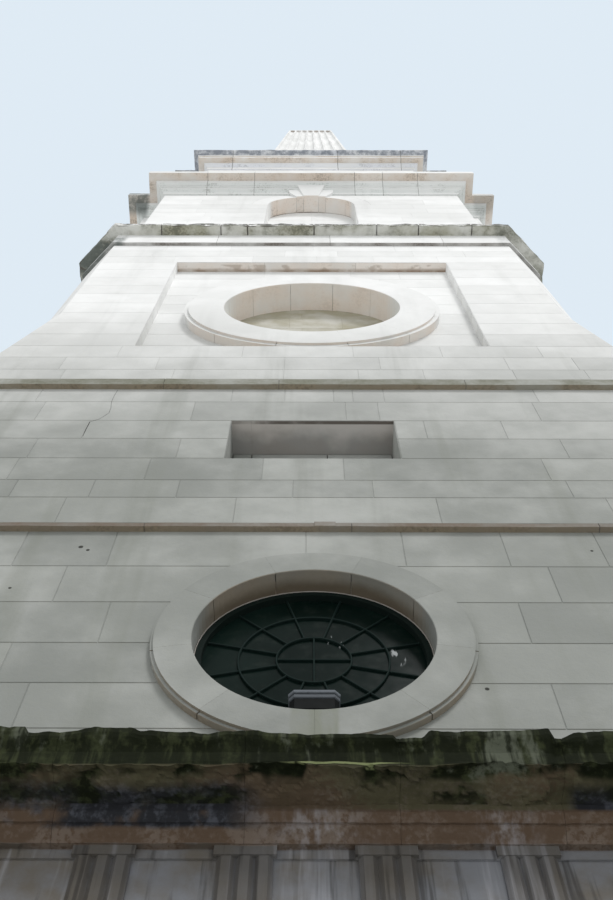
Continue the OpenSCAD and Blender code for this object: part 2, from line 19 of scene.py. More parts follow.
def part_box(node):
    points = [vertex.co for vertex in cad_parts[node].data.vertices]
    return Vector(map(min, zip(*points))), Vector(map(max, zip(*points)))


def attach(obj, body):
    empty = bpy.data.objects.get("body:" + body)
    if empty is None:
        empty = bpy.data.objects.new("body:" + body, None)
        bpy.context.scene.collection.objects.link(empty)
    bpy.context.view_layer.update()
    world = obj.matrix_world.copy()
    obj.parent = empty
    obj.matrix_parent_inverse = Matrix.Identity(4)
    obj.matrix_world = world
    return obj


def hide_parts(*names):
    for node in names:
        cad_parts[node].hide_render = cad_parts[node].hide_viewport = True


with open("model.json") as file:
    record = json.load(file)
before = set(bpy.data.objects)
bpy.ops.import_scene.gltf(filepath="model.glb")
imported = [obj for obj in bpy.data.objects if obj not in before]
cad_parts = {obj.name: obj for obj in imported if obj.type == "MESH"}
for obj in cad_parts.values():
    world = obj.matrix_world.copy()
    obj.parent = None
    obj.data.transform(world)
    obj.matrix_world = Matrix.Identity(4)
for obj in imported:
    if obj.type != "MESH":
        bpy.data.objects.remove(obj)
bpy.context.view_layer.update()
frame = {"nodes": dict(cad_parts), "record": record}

nodes = frame["nodes"]
wear_seed = 1795683482
noise.seed_set(wear_seed)  # noise_vector would start from the clock

# %% [markdown]
# ## The levels of the tower
#
# Every stone is placed from the solids themselves. Reading their boxes once, and giving each level
# a plain name, means that nothing has to be measured again when the tower changes.

# %% Name the levels and widths
def low(node):
    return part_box(node)[0]


def high(node):
    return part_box(node)[1]


tower_half = high("front_wall").x
ground_top = high("plinth").z
floor_top = low("left_door").z
door_half = high("door_frame").x
door_head = high("door_frame").z
door_crown_z = high("door_cornice").z
window_centre = (low("window_glass").z + high("window_glass").z) / 2
window_radius = (high("window_glass").z - low("window_glass").z) / 2
lower_string_z = low("lower_string").z
lower_string_top = high("lower_string").z
upper_string_z = low("upper_string").z
upper_string_top = high("upper_string").z
fascia_z = low("coping").z
niche_half = high("front_niche_wall").x
niche_foot = low("front_niche_wall").z
niche_cornice_z = low("niche_cornice").z
top_foot = low("front_top_wall").z
top_half = high("front_top_wall").x
top_cornice_z = low("top_cornice").z
spire_foot = high("top_cornice").z
dial_centre = (low("round_surrounds").z + high("round_surrounds").z) / 2
dial_outer = (high("round_surrounds").z - low("round_surrounds").z) / 2
print("window centre", round(window_centre, 3), "dial centre", round(dial_centre, 3), "top", round(spire_foot, 2))

# %% [markdown]
# ## The camera
#
# The photograph was taken from the steps, looking steeply up the front. A camera's aim is easiest to
# read as three turns one after another: a small turn of the head, the tilt upwards, and a slight roll.

# %% Stand the camera on the steps
def put_in_scene(name, data):
    """A new object for a mesh, a lamp or a camera."""
    made = bpy.data.objects.new(name, data)
    bpy.context.scene.collection.objects.link(made)
    return made


def stand_camera(place, turn, tilt, roll, focal_share):
    data = bpy.data.cameras.new("camera")
    data.sensor_width = 36
    data.lens = data.sensor_width * focal_share
    camera = put_in_scene("camera", data)
    camera.matrix_world = (
        Matrix.Translation(place)
        @ Matrix.Rotation(math.radians(turn), 4, "Z")
        @ Matrix.Rotation(math.radians(90 + tilt), 4, "X")
        @ Matrix.Rotation(math.radians(roll), 4, "Z"))
    bpy.context.scene.camera = camera


photo_h = 900
focal_px = 1030
camera_place = (-0.0144, -3.204, 0.7995)
camera_turn, camera_tilt, camera_roll = 0.352, 66.335, 0.427
stand_camera(camera_place, camera_turn, camera_tilt, camera_roll, focal_px / photo_h)
print("the camera looks up by", camera_tilt, "degrees")

# %% [markdown]
# ## Floor, sky and light
#
# A plain floor and an even sky let the stone show its own colours. The sky that lights the tower and
# the sky that the camera sees are kept apart with Light Path, so that the background can be pale
# without more light falling on the stone.

# %% Lay the floor
def plain_material(name, colour, roughness):
    material = bpy.data.materials.new(name)
    material.use_nodes = True
    shader = material.node_tree.nodes["Principled BSDF"]
    shader.inputs["Base Color"].default_value = (*colour, 1)
    shader.inputs["Roughness"].default_value = roughness
    return material


def disc(name, radius, sides):
    mesh = bpy.data.meshes.new(name)
    angles = [2 * math.pi * i / sides for i in range(sides)]
    rim = [(radius * math.cos(a), radius * math.sin(a), 0) for a in angles]
    mesh.from_pydata(rim, [], [list(range(sides))])
    return put_in_scene(name, mesh)


floor = disc("floor", radius=90, sides=96)
floor.data.materials.append(plain_material("pale_floor", (0.72, 0.73, 0.72), roughness=0.9))
print("floor laid")

# %% Light the stage
def hang_sky(seen, light, strength):
    world = bpy.data.worlds.new("sky")
    bpy.context.scene.world = world
    world.use_nodes = True
    tree = world.node_tree
    lit = tree.nodes["Background"]
    lit.inputs["Color"].default_value = (*light, 1)
    lit.inputs["Strength"].default_value = strength
    backdrop = tree.nodes.new("ShaderNodeBackground")
    backdrop.inputs["Color"].default_value = (*seen, 1)
    path = tree.nodes.new("ShaderNodeLightPath")
    either = tree.nodes.new("ShaderNodeMath")
    either.operation = "MAXIMUM"
    choose = tree.nodes.new("ShaderNodeMixShader")
    for target, source in (
            (either.inputs[0], path.outputs["Is Camera Ray"]),
            (either.inputs[1], path.outputs["Is Transmission Ray"]),
            (choose.inputs[0], either.outputs[0]), (choose.inputs[1], lit.outputs[0]),
            (choose.inputs[2], backdrop.outputs[0]), (tree.nodes["World Output"].inputs[0], choose.outputs[0])):
        tree.links.new(target, source)


def hang_sun(strength, softness, tilt, turn):
    sun = bpy.data.lights.new("sun", "SUN")
    sun.energy = strength
    sun.angle = math.radians(softness)
    put_in_scene("sun", sun).rotation_euler = (math.radians(tilt), 0, math.radians(turn))


hang_sky(seen=(0.74, 0.83, 0.91), light=(0.97, 0.985, 1.0), strength=0.75)
hang_sun(strength=1.6, softness=16, tilt=42, turn=24)
bpy.context.scene.view_settings.view_transform = "Standard"
print("sky and sun hung")

# %% [markdown]
# ## Shader maths as plain expressions
#
# A finish is easier to read as `dirt * (1 - washed)` than as a web of nodes. A small class wraps one
# output of a node, and its operators add Math nodes. Colours go through Mix nodes, because a Math
# node would turn them grey.

# %% Wrap a node's output
class Socket:
    """One output of a node; sums and products of it add Math nodes to the same finish."""

    def __init__(self, finish, link):
        self.finish = finish
        self.link = link

    def math(self, operation, first, second=0.0):
        return self.finish.node("ShaderNodeMath", {"operation": operation}, {0: first, 1: second})

    def __add__(self, other):
        return self.math("ADD", self, other)

    def __sub__(self, other):
        return self.math("SUBTRACT", self, other)

    def __rsub__(self, other):
        return self.math("SUBTRACT", other, self)

    def __mul__(self, other):
        return self.math("MULTIPLY", self, other)

    __radd__ = __add__
    __rmul__ = __mul__

    def most(self, other):
        return self.math("MAXIMUM", self, other)

    def size(self):
        return self.math("ABSOLUTE", self)

    def rise(self, start, end):
        """0 below start, 1 above end and a smooth slope between; start may be the larger."""
        return self.finish.node(
            "ShaderNodeMapRange", {"interpolation_type": "SMOOTHSTEP"},
            {"Value": self, "From Min": start, "From Max": end})

    def near(self, middle, reach):
        """1 at a middle value, falling to 0 at a distance."""
        return (self - middle).size().rise(reach, 0.0)


print("operators ready")

# %% Make nodes for one finish
class Finish:
    """A material being made: one method makes every node."""

    def __init__(self, name):
        self.material = bpy.data.materials.new(name)
        self.material.use_nodes = True
        self.tree = self.material.node_tree
        self.shader = self.tree.nodes["Principled BSDF"]
        self.place = self.node("ShaderNodeTexCoord", out="Object")

    def node(self, kind, settings=None, values=None, out=0):
        made = self.tree.nodes.new(kind)
        for key, value in (settings or {}).items():
            setattr(made, key, value)
        for key, value in (values or {}).items():
            self.put(made.inputs[key], value)
        return Socket(self, made.outputs[out])

    def put(self, target, value):
        if isinstance(value, Socket):
            self.tree.links.new(target, value.link)
        elif isinstance(value, tuple) and len(value) == 3 and target.type == "RGBA":
            target.default_value = (*value, 1)
        else:
            target.default_value = value

    def noise(self, scale, detail, stretch=None):
        place = self.place
        if stretch:
            place = self.node("ShaderNodeVectorMath", {"operation": "MULTIPLY"}, {0: place, 1: stretch})
        return self.node(
            "ShaderNodeTexNoise", {}, {"Vector": place, "Scale": scale, "Detail": detail, "Roughness": 0.55})

    def mix(self, share, first, second, blend="MIX"):
        """A colour between two colours; sockets 6, 7 and output 2 are the node's colour ones."""
        return self.node(
            "ShaderNodeMix", {"data_type": "RGBA", "blend_type": blend}, {0: share, 6: first, 7: second}, out=2)

    def coats(self, colour, *coats):
        """Tints laid over a colour one after another, each where its mask says."""
        for share, tint in coats:
            colour = self.mix(share, colour, tint)
        return colour

    def axis(self, name, of=None):
        return self.node("ShaderNodeSeparateXYZ", {}, {0: of or self.place}, out=name)

    def facing(self, name="Z"):
        return self.axis(name, self.node("ShaderNodeNewGeometry", out="Normal"))

    def tone(self):
        """The tone that each stone carries on its faces."""
        return self.node("ShaderNodeAttribute", {"attribute_name": "tone"}, out="Fac")

    def bump(self, height, distance, strength):
        return self.node("ShaderNodeBump", {}, {"Height": height, "Distance": distance, "Strength": strength})

    def surface(self, gloss=0.5, **values):
        self.put(self.shader.inputs["Specular IOR Level"], gloss)
        for key, value in values.items():
            self.put(self.shader.inputs[key.replace("_", " ").title()], value)
        return self.material


print("finish class ready")

# %% [markdown]
# ## Meshes made of many stones
#
# A wall of a thousand stones is still one object. A collector takes closed shapes, and writes one
# number on every face of a shape, its tone, so that the shader can make each stone a little lighter
# or darker than its neighbours. Nearly every shape here is a loft: a row of rings with skins between
# them and a cap on each end.

# %% Collect shapes into one mesh
class Stones:
    """Closed shapes for one mesh, each with a tone between 0 and 1."""

    def __init__(self, seed):
        self.random = random.Random(seed)
        self.points = []
        self.faces = []
        self.tones = []
        self.count = 0

    def loft(self, rings, tone=None):
        first, count = len(self.points), len(rings[0])
        faces = [list(range(count)), [(len(rings) - 1) * count + i for i in reversed(range(count))]]
        for k in range(len(rings) - 1):
            for i in range(count):
                j = (i + 1) % count
                faces.append([k * count + j, k * count + i, (k + 1) * count + i, (k + 1) * count + j])
        for ring in rings:
            self.points.extend(ring)
        self.faces.extend([first + i for i in face] for face in faces)
        self.tones.extend([self.random.random() if tone is None else tone] * len(faces))
        self.count += 1

    def build(self, name, material, slot, replaces=()):
        mesh = bpy.data.meshes.new(name)
        mesh.from_pydata([tuple(point) for point in self.points], [], self.faces)
        mesh.attributes.new("tone", "FLOAT", "FACE").data.foreach_set("value", self.tones)
        shape = bmesh.new()
        shape.from_mesh(mesh)
        bmesh.ops.recalc_face_normals(shape, faces=shape.faces)
        shape.to_mesh(mesh)
        shape.free()
        mesh.materials.append(material)
        piece = put_in_scene(name, mesh)
        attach(piece, "root")
        if replaces:
            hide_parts(*replaces)
        print(name, "has", len(self.faces), "faces")


def laid(title, seed, *layers):
    """The stones of one mesh, laid by one function after another."""
    stones = Stones(seed)
    for layer in layers:
        layer(stones)
    print("shapes in the", title + ":", stones.count)
    return stones


print("collector ready")

# %% Move the sides of an outline
def inset(outline, distance):
    """Moves each side of a closed outline inwards, or outwards by a negative distance."""
    moved = []
    count = len(outline)
    for i, (x, y) in enumerate(outline):
        back, ahead = outline[i - 1], outline[(i + 1) % count]
        before = Vector((x - back[0], y - back[1])).normalized()
        after = Vector((ahead[0] - x, ahead[1] - y)).normalized()
        share = distance / max(0.3, 1 + before.dot(after))
        moved.append((x - share * (before.y + after.y), y + share * (before.x + after.x)))
    return moved


print("a square inset by 0.1:", inset([(0, 0), (1, 0), (1, 1), (0, 1)], 0.1)[0])

# %% [markdown]
# ## Courses of ashlar
#
# The walls are ashlar: squared stones in level courses with joints a few millimetres wide. Each
# stone stands under two millimetres proud of the plain wall, so the wall behind it shows in the
# joints as mortar, and the worn edge of the stone is a real chamfer. A plane turns a stone's own
# left, right and height into a place in the room, so that one function lays stones on any face.

# %% Place flat stones on a plane
class Plane:
    """A flat face: u runs to its right, v up it, and out away from it."""

    def __init__(self, origin, right, up):
        self.origin = Vector(origin)
        self.right = Vector(right)
        self.up = Vector(up)
        self.out = self.right.cross(self.up)

    def __call__(self, u, v, out):
        return self.origin + self.right * u + self.up * v + self.out * out


def face_plane(turn, distance):
    """The upright face at a distance from the tower's axis, after a number of quarter turns."""
    spin = Matrix.Rotation(math.radians(90 * turn), 3, "Z")
    return Plane(spin @ Vector((0, -distance, 0)), spin @ Vector((1, 0, 0)), (0, 0, 1))


proud, sunk, worn = 0.0017, 0.001, 0.0011  # how far a stone stands out and reaches in, and its chamfer
joint, open_joint = 0.0026, 0.005
hair_joint, face_joint = 0.0006, 0.0004


def slab(stones, plane, outline, out=proud, tone=None):
    rings = [[plane(u, v, depth) for u, v in inset(outline, cut)]
             for depth, cut in ((-sunk, 0), (out - worn, 0), (out, worn))]
    stones.loft(rings, tone)


print("stones stand", proud * 1000, "mm proud")

# %% Share a height out into courses
course_h = 0.192
stone_w, longest_stone = (0.3, 0.62), 0.95
joint_shift = 0.06  # the least distance between the upright joints of two courses
samples = 8  # of the outline in the height of a course
sliver = 0.02  # a stone narrower than this is left out
inside_bed = 0.0001  # keeps the first and the last sample inside their course


def levels(*fixed):
    """Heights of the bed joints from the first to the last fixed height, through all of them."""
    rows = [fixed[0]]
    for start, end in zip(fixed, fixed[1:]):
        count = max(1, round((end - start) / course_h))
        rows += [start + (end - start) * (i + 1) / count for i in range(count)]
    return rows


def cuts(stones, start, end, above=(), sizes=stone_w):
    """Upright joints between two ends, not over the joints of the course below."""
    for _ in range(12):
        found = [start]
        while end - found[-1] > sizes[1] + sizes[0] * 0.5:
            found.append(found[-1] + stones.random.uniform(*sizes))
        if end - found[-1] > sizes[1]:
            found.append((found[-1] + end) / 2)
        found.append(end)
        if all(abs(a - b) > joint_shift for a in found[1:-1] for b in above):
            break
    return found


print("courses over the door:", [round(z, 2) for z in levels(door_crown_z, lower_string_z)])

# %% Lay the courses of one face
def seen_cuts(start, end, marks):
    """The joints that the photograph shows, and a middle joint where two are far apart."""
    found = [start] + [m for m in marks if start + 0.05 < m < end - 0.05] + [end]
    return sorted(found + [(a + b) / 2 for a, b in zip(found, found[1:]) if b - a > longest_stone])


def lay_courses(stones, plane, rows, outer, hole=None, sizes=stone_w, seen=()):
    """outer(z) and hole(z) give the half widths of the face and of the opening in it."""
    above = ()
    for foot, head in zip(rows, rows[1:]):
        known = [marks for z, marks in seen if foot < z < head]
        inside = [foot + (head - foot) * i / samples for i in range(1, samples)]
        heights = [foot + inside_bed] + inside + [head - inside_bed]
        gaps = [hole(z) if hole else 0 for z in heights]
        spans = [(lambda z: -outer(z), outer)]
        if max(gaps) > 0:
            spans = [(lambda z: -outer(z), lambda z: -hole(z) - joint), (lambda z: hole(z) + joint, outer)]
        marks = []
        for left, right in spans:
            start, end = min(left(z) for z in heights), max(right(z) for z in heights)
            found = seen_cuts(start, end, known[0]) if known else cuts(stones, start, end, above, sizes)
            marks += found[1:-1]
            for a, b in zip(found, found[1:]):
                lay_stone(stones, plane, heights, a, b, start, end, left, right)
        above = marks


def lay_stone(stones, plane, heights, a, b, start, end, left, right):
    near = [max(left(z), a + (joint / 2 if a > start else 0)) for z in heights]
    far = [min(right(z), b - (joint / 2 if b < end else 0)) for z in heights]
    kept = [i for i in range(len(heights)) if far[i] - near[i] > sliver]
    if len(kept) < 2:
        return
    straight = max(near) - min(near) < 1e-6 and max(far) - min(far) < 1e-6
    if straight:
        kept = [kept[0], kept[-1]]
    bed = {0: joint / 2, len(heights) - 1: -joint / 2}
    tall = [heights[i] + bed.get(i, 0) for i in kept]
    outline = [(far[i], z) for i, z in zip(kept, tall)]
    outline += [(near[i], z) for i, z in reversed(list(zip(kept, tall)))]
    slab(stones, plane, outline)


def half_chord(radius, centre):
    """The half width of a disc at a height."""
    return lambda z: math.sqrt(max(0.0, radius ** 2 - (z - centre) ** 2))


print("half chord of a unit disc at 0.6:", round(half_chord(1, 0)(0.6), 3))

# %% [markdown]
# ## The lower tower
#
# Four faces of plain courses. The holes are cut in plan: the doorway and the deep panel are straight
# sided, and the stones round the window stop under its ring, which is laid over them later. Stones
# on the front and back reach past the corner by their own thickness, so the corner closes.

# %% Lay the lower tower
ring_out = low("window_rings").y * -1 - tower_half
ring_outer = (high("window_rings").z - low("window_rings").z) / 2
panel_half, panel_foot, panel_head = 0.335, lower_string_z + 0.587, lower_string_z + 0.967
beds_below, beds_above = (-0.634, -0.224, 0), (0.252, 0.394)  # bed joints that show, from the lower string
seen_joints = [  # a height inside a course of the front, and its upright joints
    (3.04, [-0.815]), (3.24, [-0.585, 0.588]), (3.45, [-0.755, 0.717]),
    (3.66, [-0.928, -0.637, -0.024, 0.285, 0.606, 0.908]), (3.93, [-0.86, -0.268, 0.427]),
    (4.10, [-1.065, -0.786, -0.480, -0.072, 0.212]), (4.26, [-0.612, -0.187, 0.114]), (4.45, [-1.085, -0.52]),
    (4.64, [-0.916, 0.455, 0.773]), (4.85, [-1.15, 0.140, 0.278]),
    (5.03, [-1.20, -0.353, -0.121, 0.092, 0.176, 0.312, 0.979])]


def lower_hole(turn):
    window = half_chord(ring_outer - 0.05, window_centre)

    def width(z):
        if turn == 0 and floor_top < z < door_head:
            return door_half
        if panel_foot < z < panel_head:
            return panel_half
        return window(z)
    return width


def lay_lower_tower(stones):
    rows = levels(ground_top, door_head, door_crown_z, *(lower_string_z + rise for rise in beds_below))
    upper = levels(
        lower_string_top, *(lower_string_z + rise for rise in beds_above), panel_foot, panel_head,
        panel_head + 0.213, upper_string_z)
    for turn in range(4):
        plane = face_plane(turn, tower_half)
        reach = tower_half + proud if turn % 2 == 0 else tower_half
        for part in (rows, upper):
            lay_courses(stones, plane, part, lambda z: reach, lower_hole(turn), seen=seen_joints if turn == 0 else ())


lower_stones = laid("lower tower", 11, lay_lower_tower)

# %% [markdown]
# ## The recess stage
#
# Here the square tower loses its corners. Each corner is cut back over a long sloped stop, a
# triangle that leans inwards, and then rises as a narrow upright face. The wide faces get narrower
# as the stops rise, so their half width is a function of the height.

# %% Lay the recess stage
cant_leg = 0.22
cant_foot = upper_string_top + 0.05
cant_head = cant_foot + 1.065
square_half, square_foot, square_depth = 0.8875, upper_string_top + 0.535, 0.063
square_head = square_foot + 1.785


def canted_half(z):
    share = min(1.0, max(0.0, (z - cant_foot) / (cant_head - cant_foot)))
    return tower_half + proud * 0.4 - cant_leg * share


def lay_recess_stage(stones):
    rows = levels(upper_string_top, square_foot, square_head, fascia_z)
    behind = levels(square_foot, square_head)
    for turn in range(4):
        lay_courses(
            stones, face_plane(turn, tower_half), rows, canted_half,
            lambda z: square_half if square_foot < z < square_head else 0.0)
        lay_courses(
            stones, face_plane(turn, tower_half - square_depth), behind, lambda z: square_half,
            half_chord(dial_outer - 0.06, dial_centre))


def lay_canted_corners(stones):
    half_width = cant_leg / math.sqrt(2)
    distance = (2 * tower_half - cant_leg) / math.sqrt(2)
    slope = Vector((0, half_width, cant_head - cant_foot))
    for turn in (0.5, 1.5, 2.5, 3.5):
        plane = face_plane(turn, distance)
        lay_courses(stones, plane, levels(cant_head, fascia_z), lambda z: half_width, sizes=(0.2, 0.4))
        foot = face_plane(turn, distance + half_width)
        spin = Matrix.Rotation(math.radians(90 * turn), 3, "Z")
        leaning = Plane(foot(0, cant_foot, 0), foot.right, (spin @ slope).normalized())
        lay_courses(
            stones, leaning, levels(0.0, slope.length), lambda v: half_width * v / slope.length, sizes=(0.2, 0.4))


recess_stones = laid("recess stage", 12, lay_recess_stage, lay_canted_corners)

# %% [markdown]
# ## The niche stage and the top stage
#
# Both are crosses in plan, with a square notch at each corner. A notch has two narrow faces, and
# each is laid as a small wall of its own. The wide faces are pierced by arched niches, whose outline
# is a straight chord below the springing and a circle above it.

# %% Lay the two upper stages
niche_arm = niche_half - 0.205
top_arm = top_half - 0.23
arch_half = 0.38
arch_foot = niche_foot + 0.325
arch_spring = arch_foot + 1.3
arch_ring_w = 0.14


def arch_hole(extra):
    chord = half_chord(arch_half + extra, arch_spring)

    def width(z):
        if z <= arch_foot or z >= arch_spring + arch_half + extra:
            return 0.0
        return arch_half if z < arch_spring else chord(z)
    return width


def lay_notches(stones, half, arm, rows):
    """The two narrow faces of each corner notch."""
    middle, reach = (half + arm) / 2, (half - arm) / 2
    for turn in range(4):
        plane = face_plane(turn, arm)
        for side in (-1, 1):
            moved = Plane(plane(side * middle, 0, 0), plane.right, plane.up)
            lay_courses(stones, moved, rows, lambda z: reach, sizes=(0.5, 0.9))


def lay_upper_stages(stones):
    rows = levels(niche_foot, arch_foot, arch_spring, niche_cornice_z)
    top_rows = levels(top_foot, top_cornice_z)
    for turn in range(4):
        lay_courses(
            stones, face_plane(turn, niche_half), rows, lambda z: niche_arm + proud, arch_hole(arch_ring_w))
        lay_courses(stones, face_plane(turn, top_half), top_rows, lambda z: top_arm + proud)
    lay_notches(stones, niche_half, niche_arm, rows)
    lay_notches(stones, top_half, top_arm, top_rows)


upper_stones = laid("upper stages", 13, lay_upper_stages)

# %% [markdown]
# ## Rings and arches of wedge stones
#
# A round opening is framed by wedge stones whose joints all point at its centre. Their section is
# drawn once as radius and depth, and turned round the centre; each joint is kept at one width by
# letting the angle that it takes grow towards the middle. On the outer face the stones nearly touch.

# %% Turn a section round a centre
ring_step = 4.0  # degrees


def ring_stones(stones, plane, centre, section, angles, gap, tone=None):
    """section is a closed outline of (radius, out); angles are degrees from the top, clockwise."""
    face = max(out for radius, out in section)
    for start, end in zip(angles, angles[1:]):
        count = max(2, round((end - start) / ring_step))
        rings = []
        for i in range(count + 1):
            ring = []
            for radius, out in section:
                edge = math.degrees((gap if out < face - 0.004 else face_joint) / 2 / radius)
                angle = math.radians(start + edge + (end - start - 2 * edge) * i / count)
                ring.append(plane(radius * math.sin(angle), centre + radius * math.cos(angle), out))
            rings.append(ring)
        stones.loft(rings, tone)


print("a ring turns in steps of", ring_step, "degrees")

# %% Ring the windows, the round recesses and the niches
window_joints = [20 + 40 * i for i in range(10)]
dial_joints = [15 + 30 * i for i in range(13)]
arch_joints = [-90, -54, -20.3, -10.2, 10.2, 20.3, 54, 90]
dial_depth, niche_depth = 0.17, 0.14
glass_depth = low("window_glass").y * -1 - tower_half


def window_section():
    inner, outer, edge = window_radius - proud, ring_outer, 0.0087
    return [
        (inner + 0.002, ring_out), (outer - edge, ring_out), (outer - edge, ring_out * 0.7),
        (outer - 0.001, ring_out * 0.7), (outer, ring_out * 0.62), (outer, -sunk),
        (inner + proud + sunk, -sunk), (inner + proud + sunk, glass_depth), (inner, glass_depth),
        (inner, ring_out - 0.008), (inner, ring_out - 0.002)]


def dial_section():
    inner, outer, edge = 0.5 - proud, dial_outer, 0.024
    return [
        (inner + 0.003, 0.0), (outer - edge, 0.0), (outer - edge, -0.0126), (outer, -0.0126),
        (outer, -square_depth), (inner + proud + sunk, -square_depth), (inner + proud + sunk, -dial_depth),
        (inner, -dial_depth), (inner, -0.008), (inner, -0.003)]


def arch_section():
    inner = arch_half - proud
    return [
        (inner + 0.002, proud), (arch_half + arch_ring_w - joint, proud), (arch_half + arch_ring_w - joint, -sunk),
        (inner + proud + sunk, -sunk), (inner + proud + sunk, -niche_depth), (inner, -niche_depth),
        (inner, -0.008), (inner, 0.0)]


def lay_rings():
    rings, dials, arches = Stones(21), Stones(22), Stones(24)
    for turn in range(4):
        plane = face_plane(turn, tower_half)
        ring_stones(rings, plane, window_centre, window_section(), window_joints, 0.8 * open_joint)
        ring_stones(dials, plane, dial_centre, dial_section(), dial_joints, 0.6 * open_joint, tone=0.7)
        ring_stones(arches, face_plane(turn, niche_half), arch_spring, arch_section(), arch_joints, open_joint)
    return rings, dials, arches


window_ring_stones, dial_ring_stones, arch_stones = lay_rings()
print("wedge stones round the windows:", window_ring_stones.count)

# %% [markdown]
# ## Linings
#
# The sides, heads and backs of the recesses are stones too. A lining is a row of slabs on a plane
# that lies in the reveal, with its joints at the courses for the sides, and at stone lengths for the
# head. The deep panel is shallower than in the solid, and thick stones at its back make it so.

# %% Line the recesses
panel_depth, solid_depth = 0.152, 0.24  # to the face of the panel's thick back stones, and to the solid
panel_backs = ((-0.33, -0.255), (-0.251, 0.06), (0.064, 0.33))  # the left and right ends of those stones
panel_joint = 0.253  # the joint that shows in the panel's head


def line_side(stones, turn, distance, side, half, depth, rows):
    """The upright side of a recess: side is -1 for its left and 1 for its right."""
    face = face_plane(turn, distance)
    plane = Plane(face(side * half, 0, -depth / 2), face.out * -side, face.up)
    lay_courses(stones, plane, rows, lambda z: depth / 2, sizes=(1, 2))


def line_head(stones, turn, distance, half, head, depth, seen=()):
    face = face_plane(turn, distance)
    plane = Plane(face(0, head, -depth), face.right * -1, face.out)
    lay_courses(stones, plane, [0.0, depth], lambda v: half, seen=seen)


def line_panel(stones, turn):
    line_head(
        stones, turn, tower_half, panel_half, panel_head, panel_depth, seen=[(panel_depth / 2, [panel_joint])])
    head = panel_head - 0.002
    for left, right in panel_backs:
        corners = [(left, panel_foot), (right, panel_foot), (right, head), (left, head)]
        slab(stones, face_plane(turn, tower_half - solid_depth), corners, solid_depth - panel_depth)


def line_recesses(stones):
    niche_rows = levels(arch_foot, arch_spring, arch_spring + arch_half)
    arch = half_chord(arch_half, arch_spring)
    for turn in range(4):
        line_head(stones, turn, tower_half, square_half, square_head, square_depth)
        line_panel(stones, turn)
        lay_courses(
            stones, face_plane(turn, niche_half - niche_depth), niche_rows,
            lambda z: arch_half if z < arch_spring else arch(z))
        lay_courses(
            stones, face_plane(turn, tower_half - dial_depth), levels(dial_centre - 0.5, dial_centre + 0.5),
            half_chord(0.5, dial_centre))
        for side in (-1, 1):
            line_side(stones, turn, tower_half, side, square_half, square_depth, levels(square_foot, square_head))
            line_side(stones, turn, tower_half, side, panel_half, panel_depth, levels(panel_foot, panel_head))
            line_side(stones, turn, niche_half, side, arch_half, niche_depth, levels(arch_foot, arch_spring))


lining_stones = laid("linings", 23, line_recesses)

# %% [markdown]
# ## Mouldings
#
# A string course, a coping and a cornice are all one section carried round the tower and mitred at
# its corners. The section is a closed outline of distance and height. At a corner each point runs on
# by its own distance from the wall, times the tangent of half the corner's angle, which makes the
# mitre for square, canted and re-entrant corners alike.

# %% Carry a section round the tower
corner_clear = 0.06  # no joint lies nearer to a corner


def moulding(
        stones, corners, section, joints=None, sizes=(0.34, 0.6), grain=0.4, closed=True, wear=None, gap=joint):
    """joints gives the joints of some sides by number; wear(point, out, z) gives a point's shift."""
    count = len(corners)
    sides = count if closed else count - 1
    along = [(Vector(corners[(i + 1) % count]) - Vector(corners[i])) for i in range(sides)]

    def mitre(i):
        if not closed and i in (0, sides):
            return 0.0
        a, b = along[(i - 1) % sides], along[i % sides]
        return math.tan(math.atan2(a.x * b.y - a.y * b.x, a.dot(b)) / 2)
    for i in range(sides):
        start, length = Vector(corners[i]), along[i].length
        ahead = along[i].normalized()
        out = Vector((ahead.y, -ahead.x))
        marks = (joints or {}).get(i) or cuts(stones, 0, length, sizes=sizes)[1:-1]
        marks = [0.0] + [m for m in marks if corner_clear < m < length - corner_clear] + [length]
        for a, b in zip(marks, marks[1:]):
            first = (lambda d: -d * mitre(i)) if a == 0 else (lambda d: a + gap / 2)
            last = (lambda d: length + d * mitre(i + 1)) if b == length else (lambda d: b - gap / 2)
            steps = max(1, round((b - a) / grain))
            rings = []
            for k in range(steps + 1):
                ring = []
                for d, z in section:
                    place = start + ahead * (first(d) + (last(d) - first(d)) * k / steps) + out * d
                    point = Vector((place.x, place.y, z))
                    ring.append(point + wear(point, d, z) if wear else point)
                rings.append(ring)
            stones.loft(rings)


def square_path(half):
    return [(-half, -half), (half, -half), (half, half), (-half, half)]


def cross_path(half, arm):
    """The outline of a square with a notch in each corner, from the front left corner on."""
    quarter = [(-arm, -half), (arm, -half), (arm, -arm)]
    return [(x * c - y * s, x * s + y * c) for c, s in ((1, 0), (0, 1), (-1, 0), (0, -1)) for x, y in quarter]


def canted_path(half, leg):
    edge = half - leg
    pair = [(-edge, -half), (edge, -half)]
    return [(x * c - y * s, x * s + y * c) for c, s in ((1, 0), (0, 1), (-1, 0), (0, -1)) for x, y in pair]


print("corners of the cross:", len(cross_path(2, 1)))

# %% [markdown]
# ## The strings and the coping
#
# Their edges are worn, but not broken. A slow noise moves each ring of the loft by a millimetre or
# two, which is enough to make the long lines look like stone and not like a rule. The coping is the
# most weathered, and its noise is quicker and stronger.

# %% Lay the strings and the coping
def wavy(amount, scale=7.0):
    """Wear that moves a point by a slow noise."""
    return lambda point, d, z: noise.noise_vector(point * scale) * amount


def grown(outline, base=0.0, more=0.001):
    """An outline of (out, height) a little outside the solid that it covers."""
    return [(d, z + base) for d, z in inset(outline, -proud - more)]


def string_section(out, h, face, z):
    return grown([(-0.006, 0), (out, 0), (out, face), (-0.006, h)], z)


def lay_strings(stones):
    path = square_path(tower_half)
    for node, face in (("lower_string", 1 / 3), ("upper_string", 0.72)):
        out, h = -low(node).y - tower_half, high(node).z - low(node).z
        moulding(stones, path, string_section(out, h, h * face, low(node).z), sizes=(0.5, 0.95), grain=0.08,
                 wear=wavy(0.002))


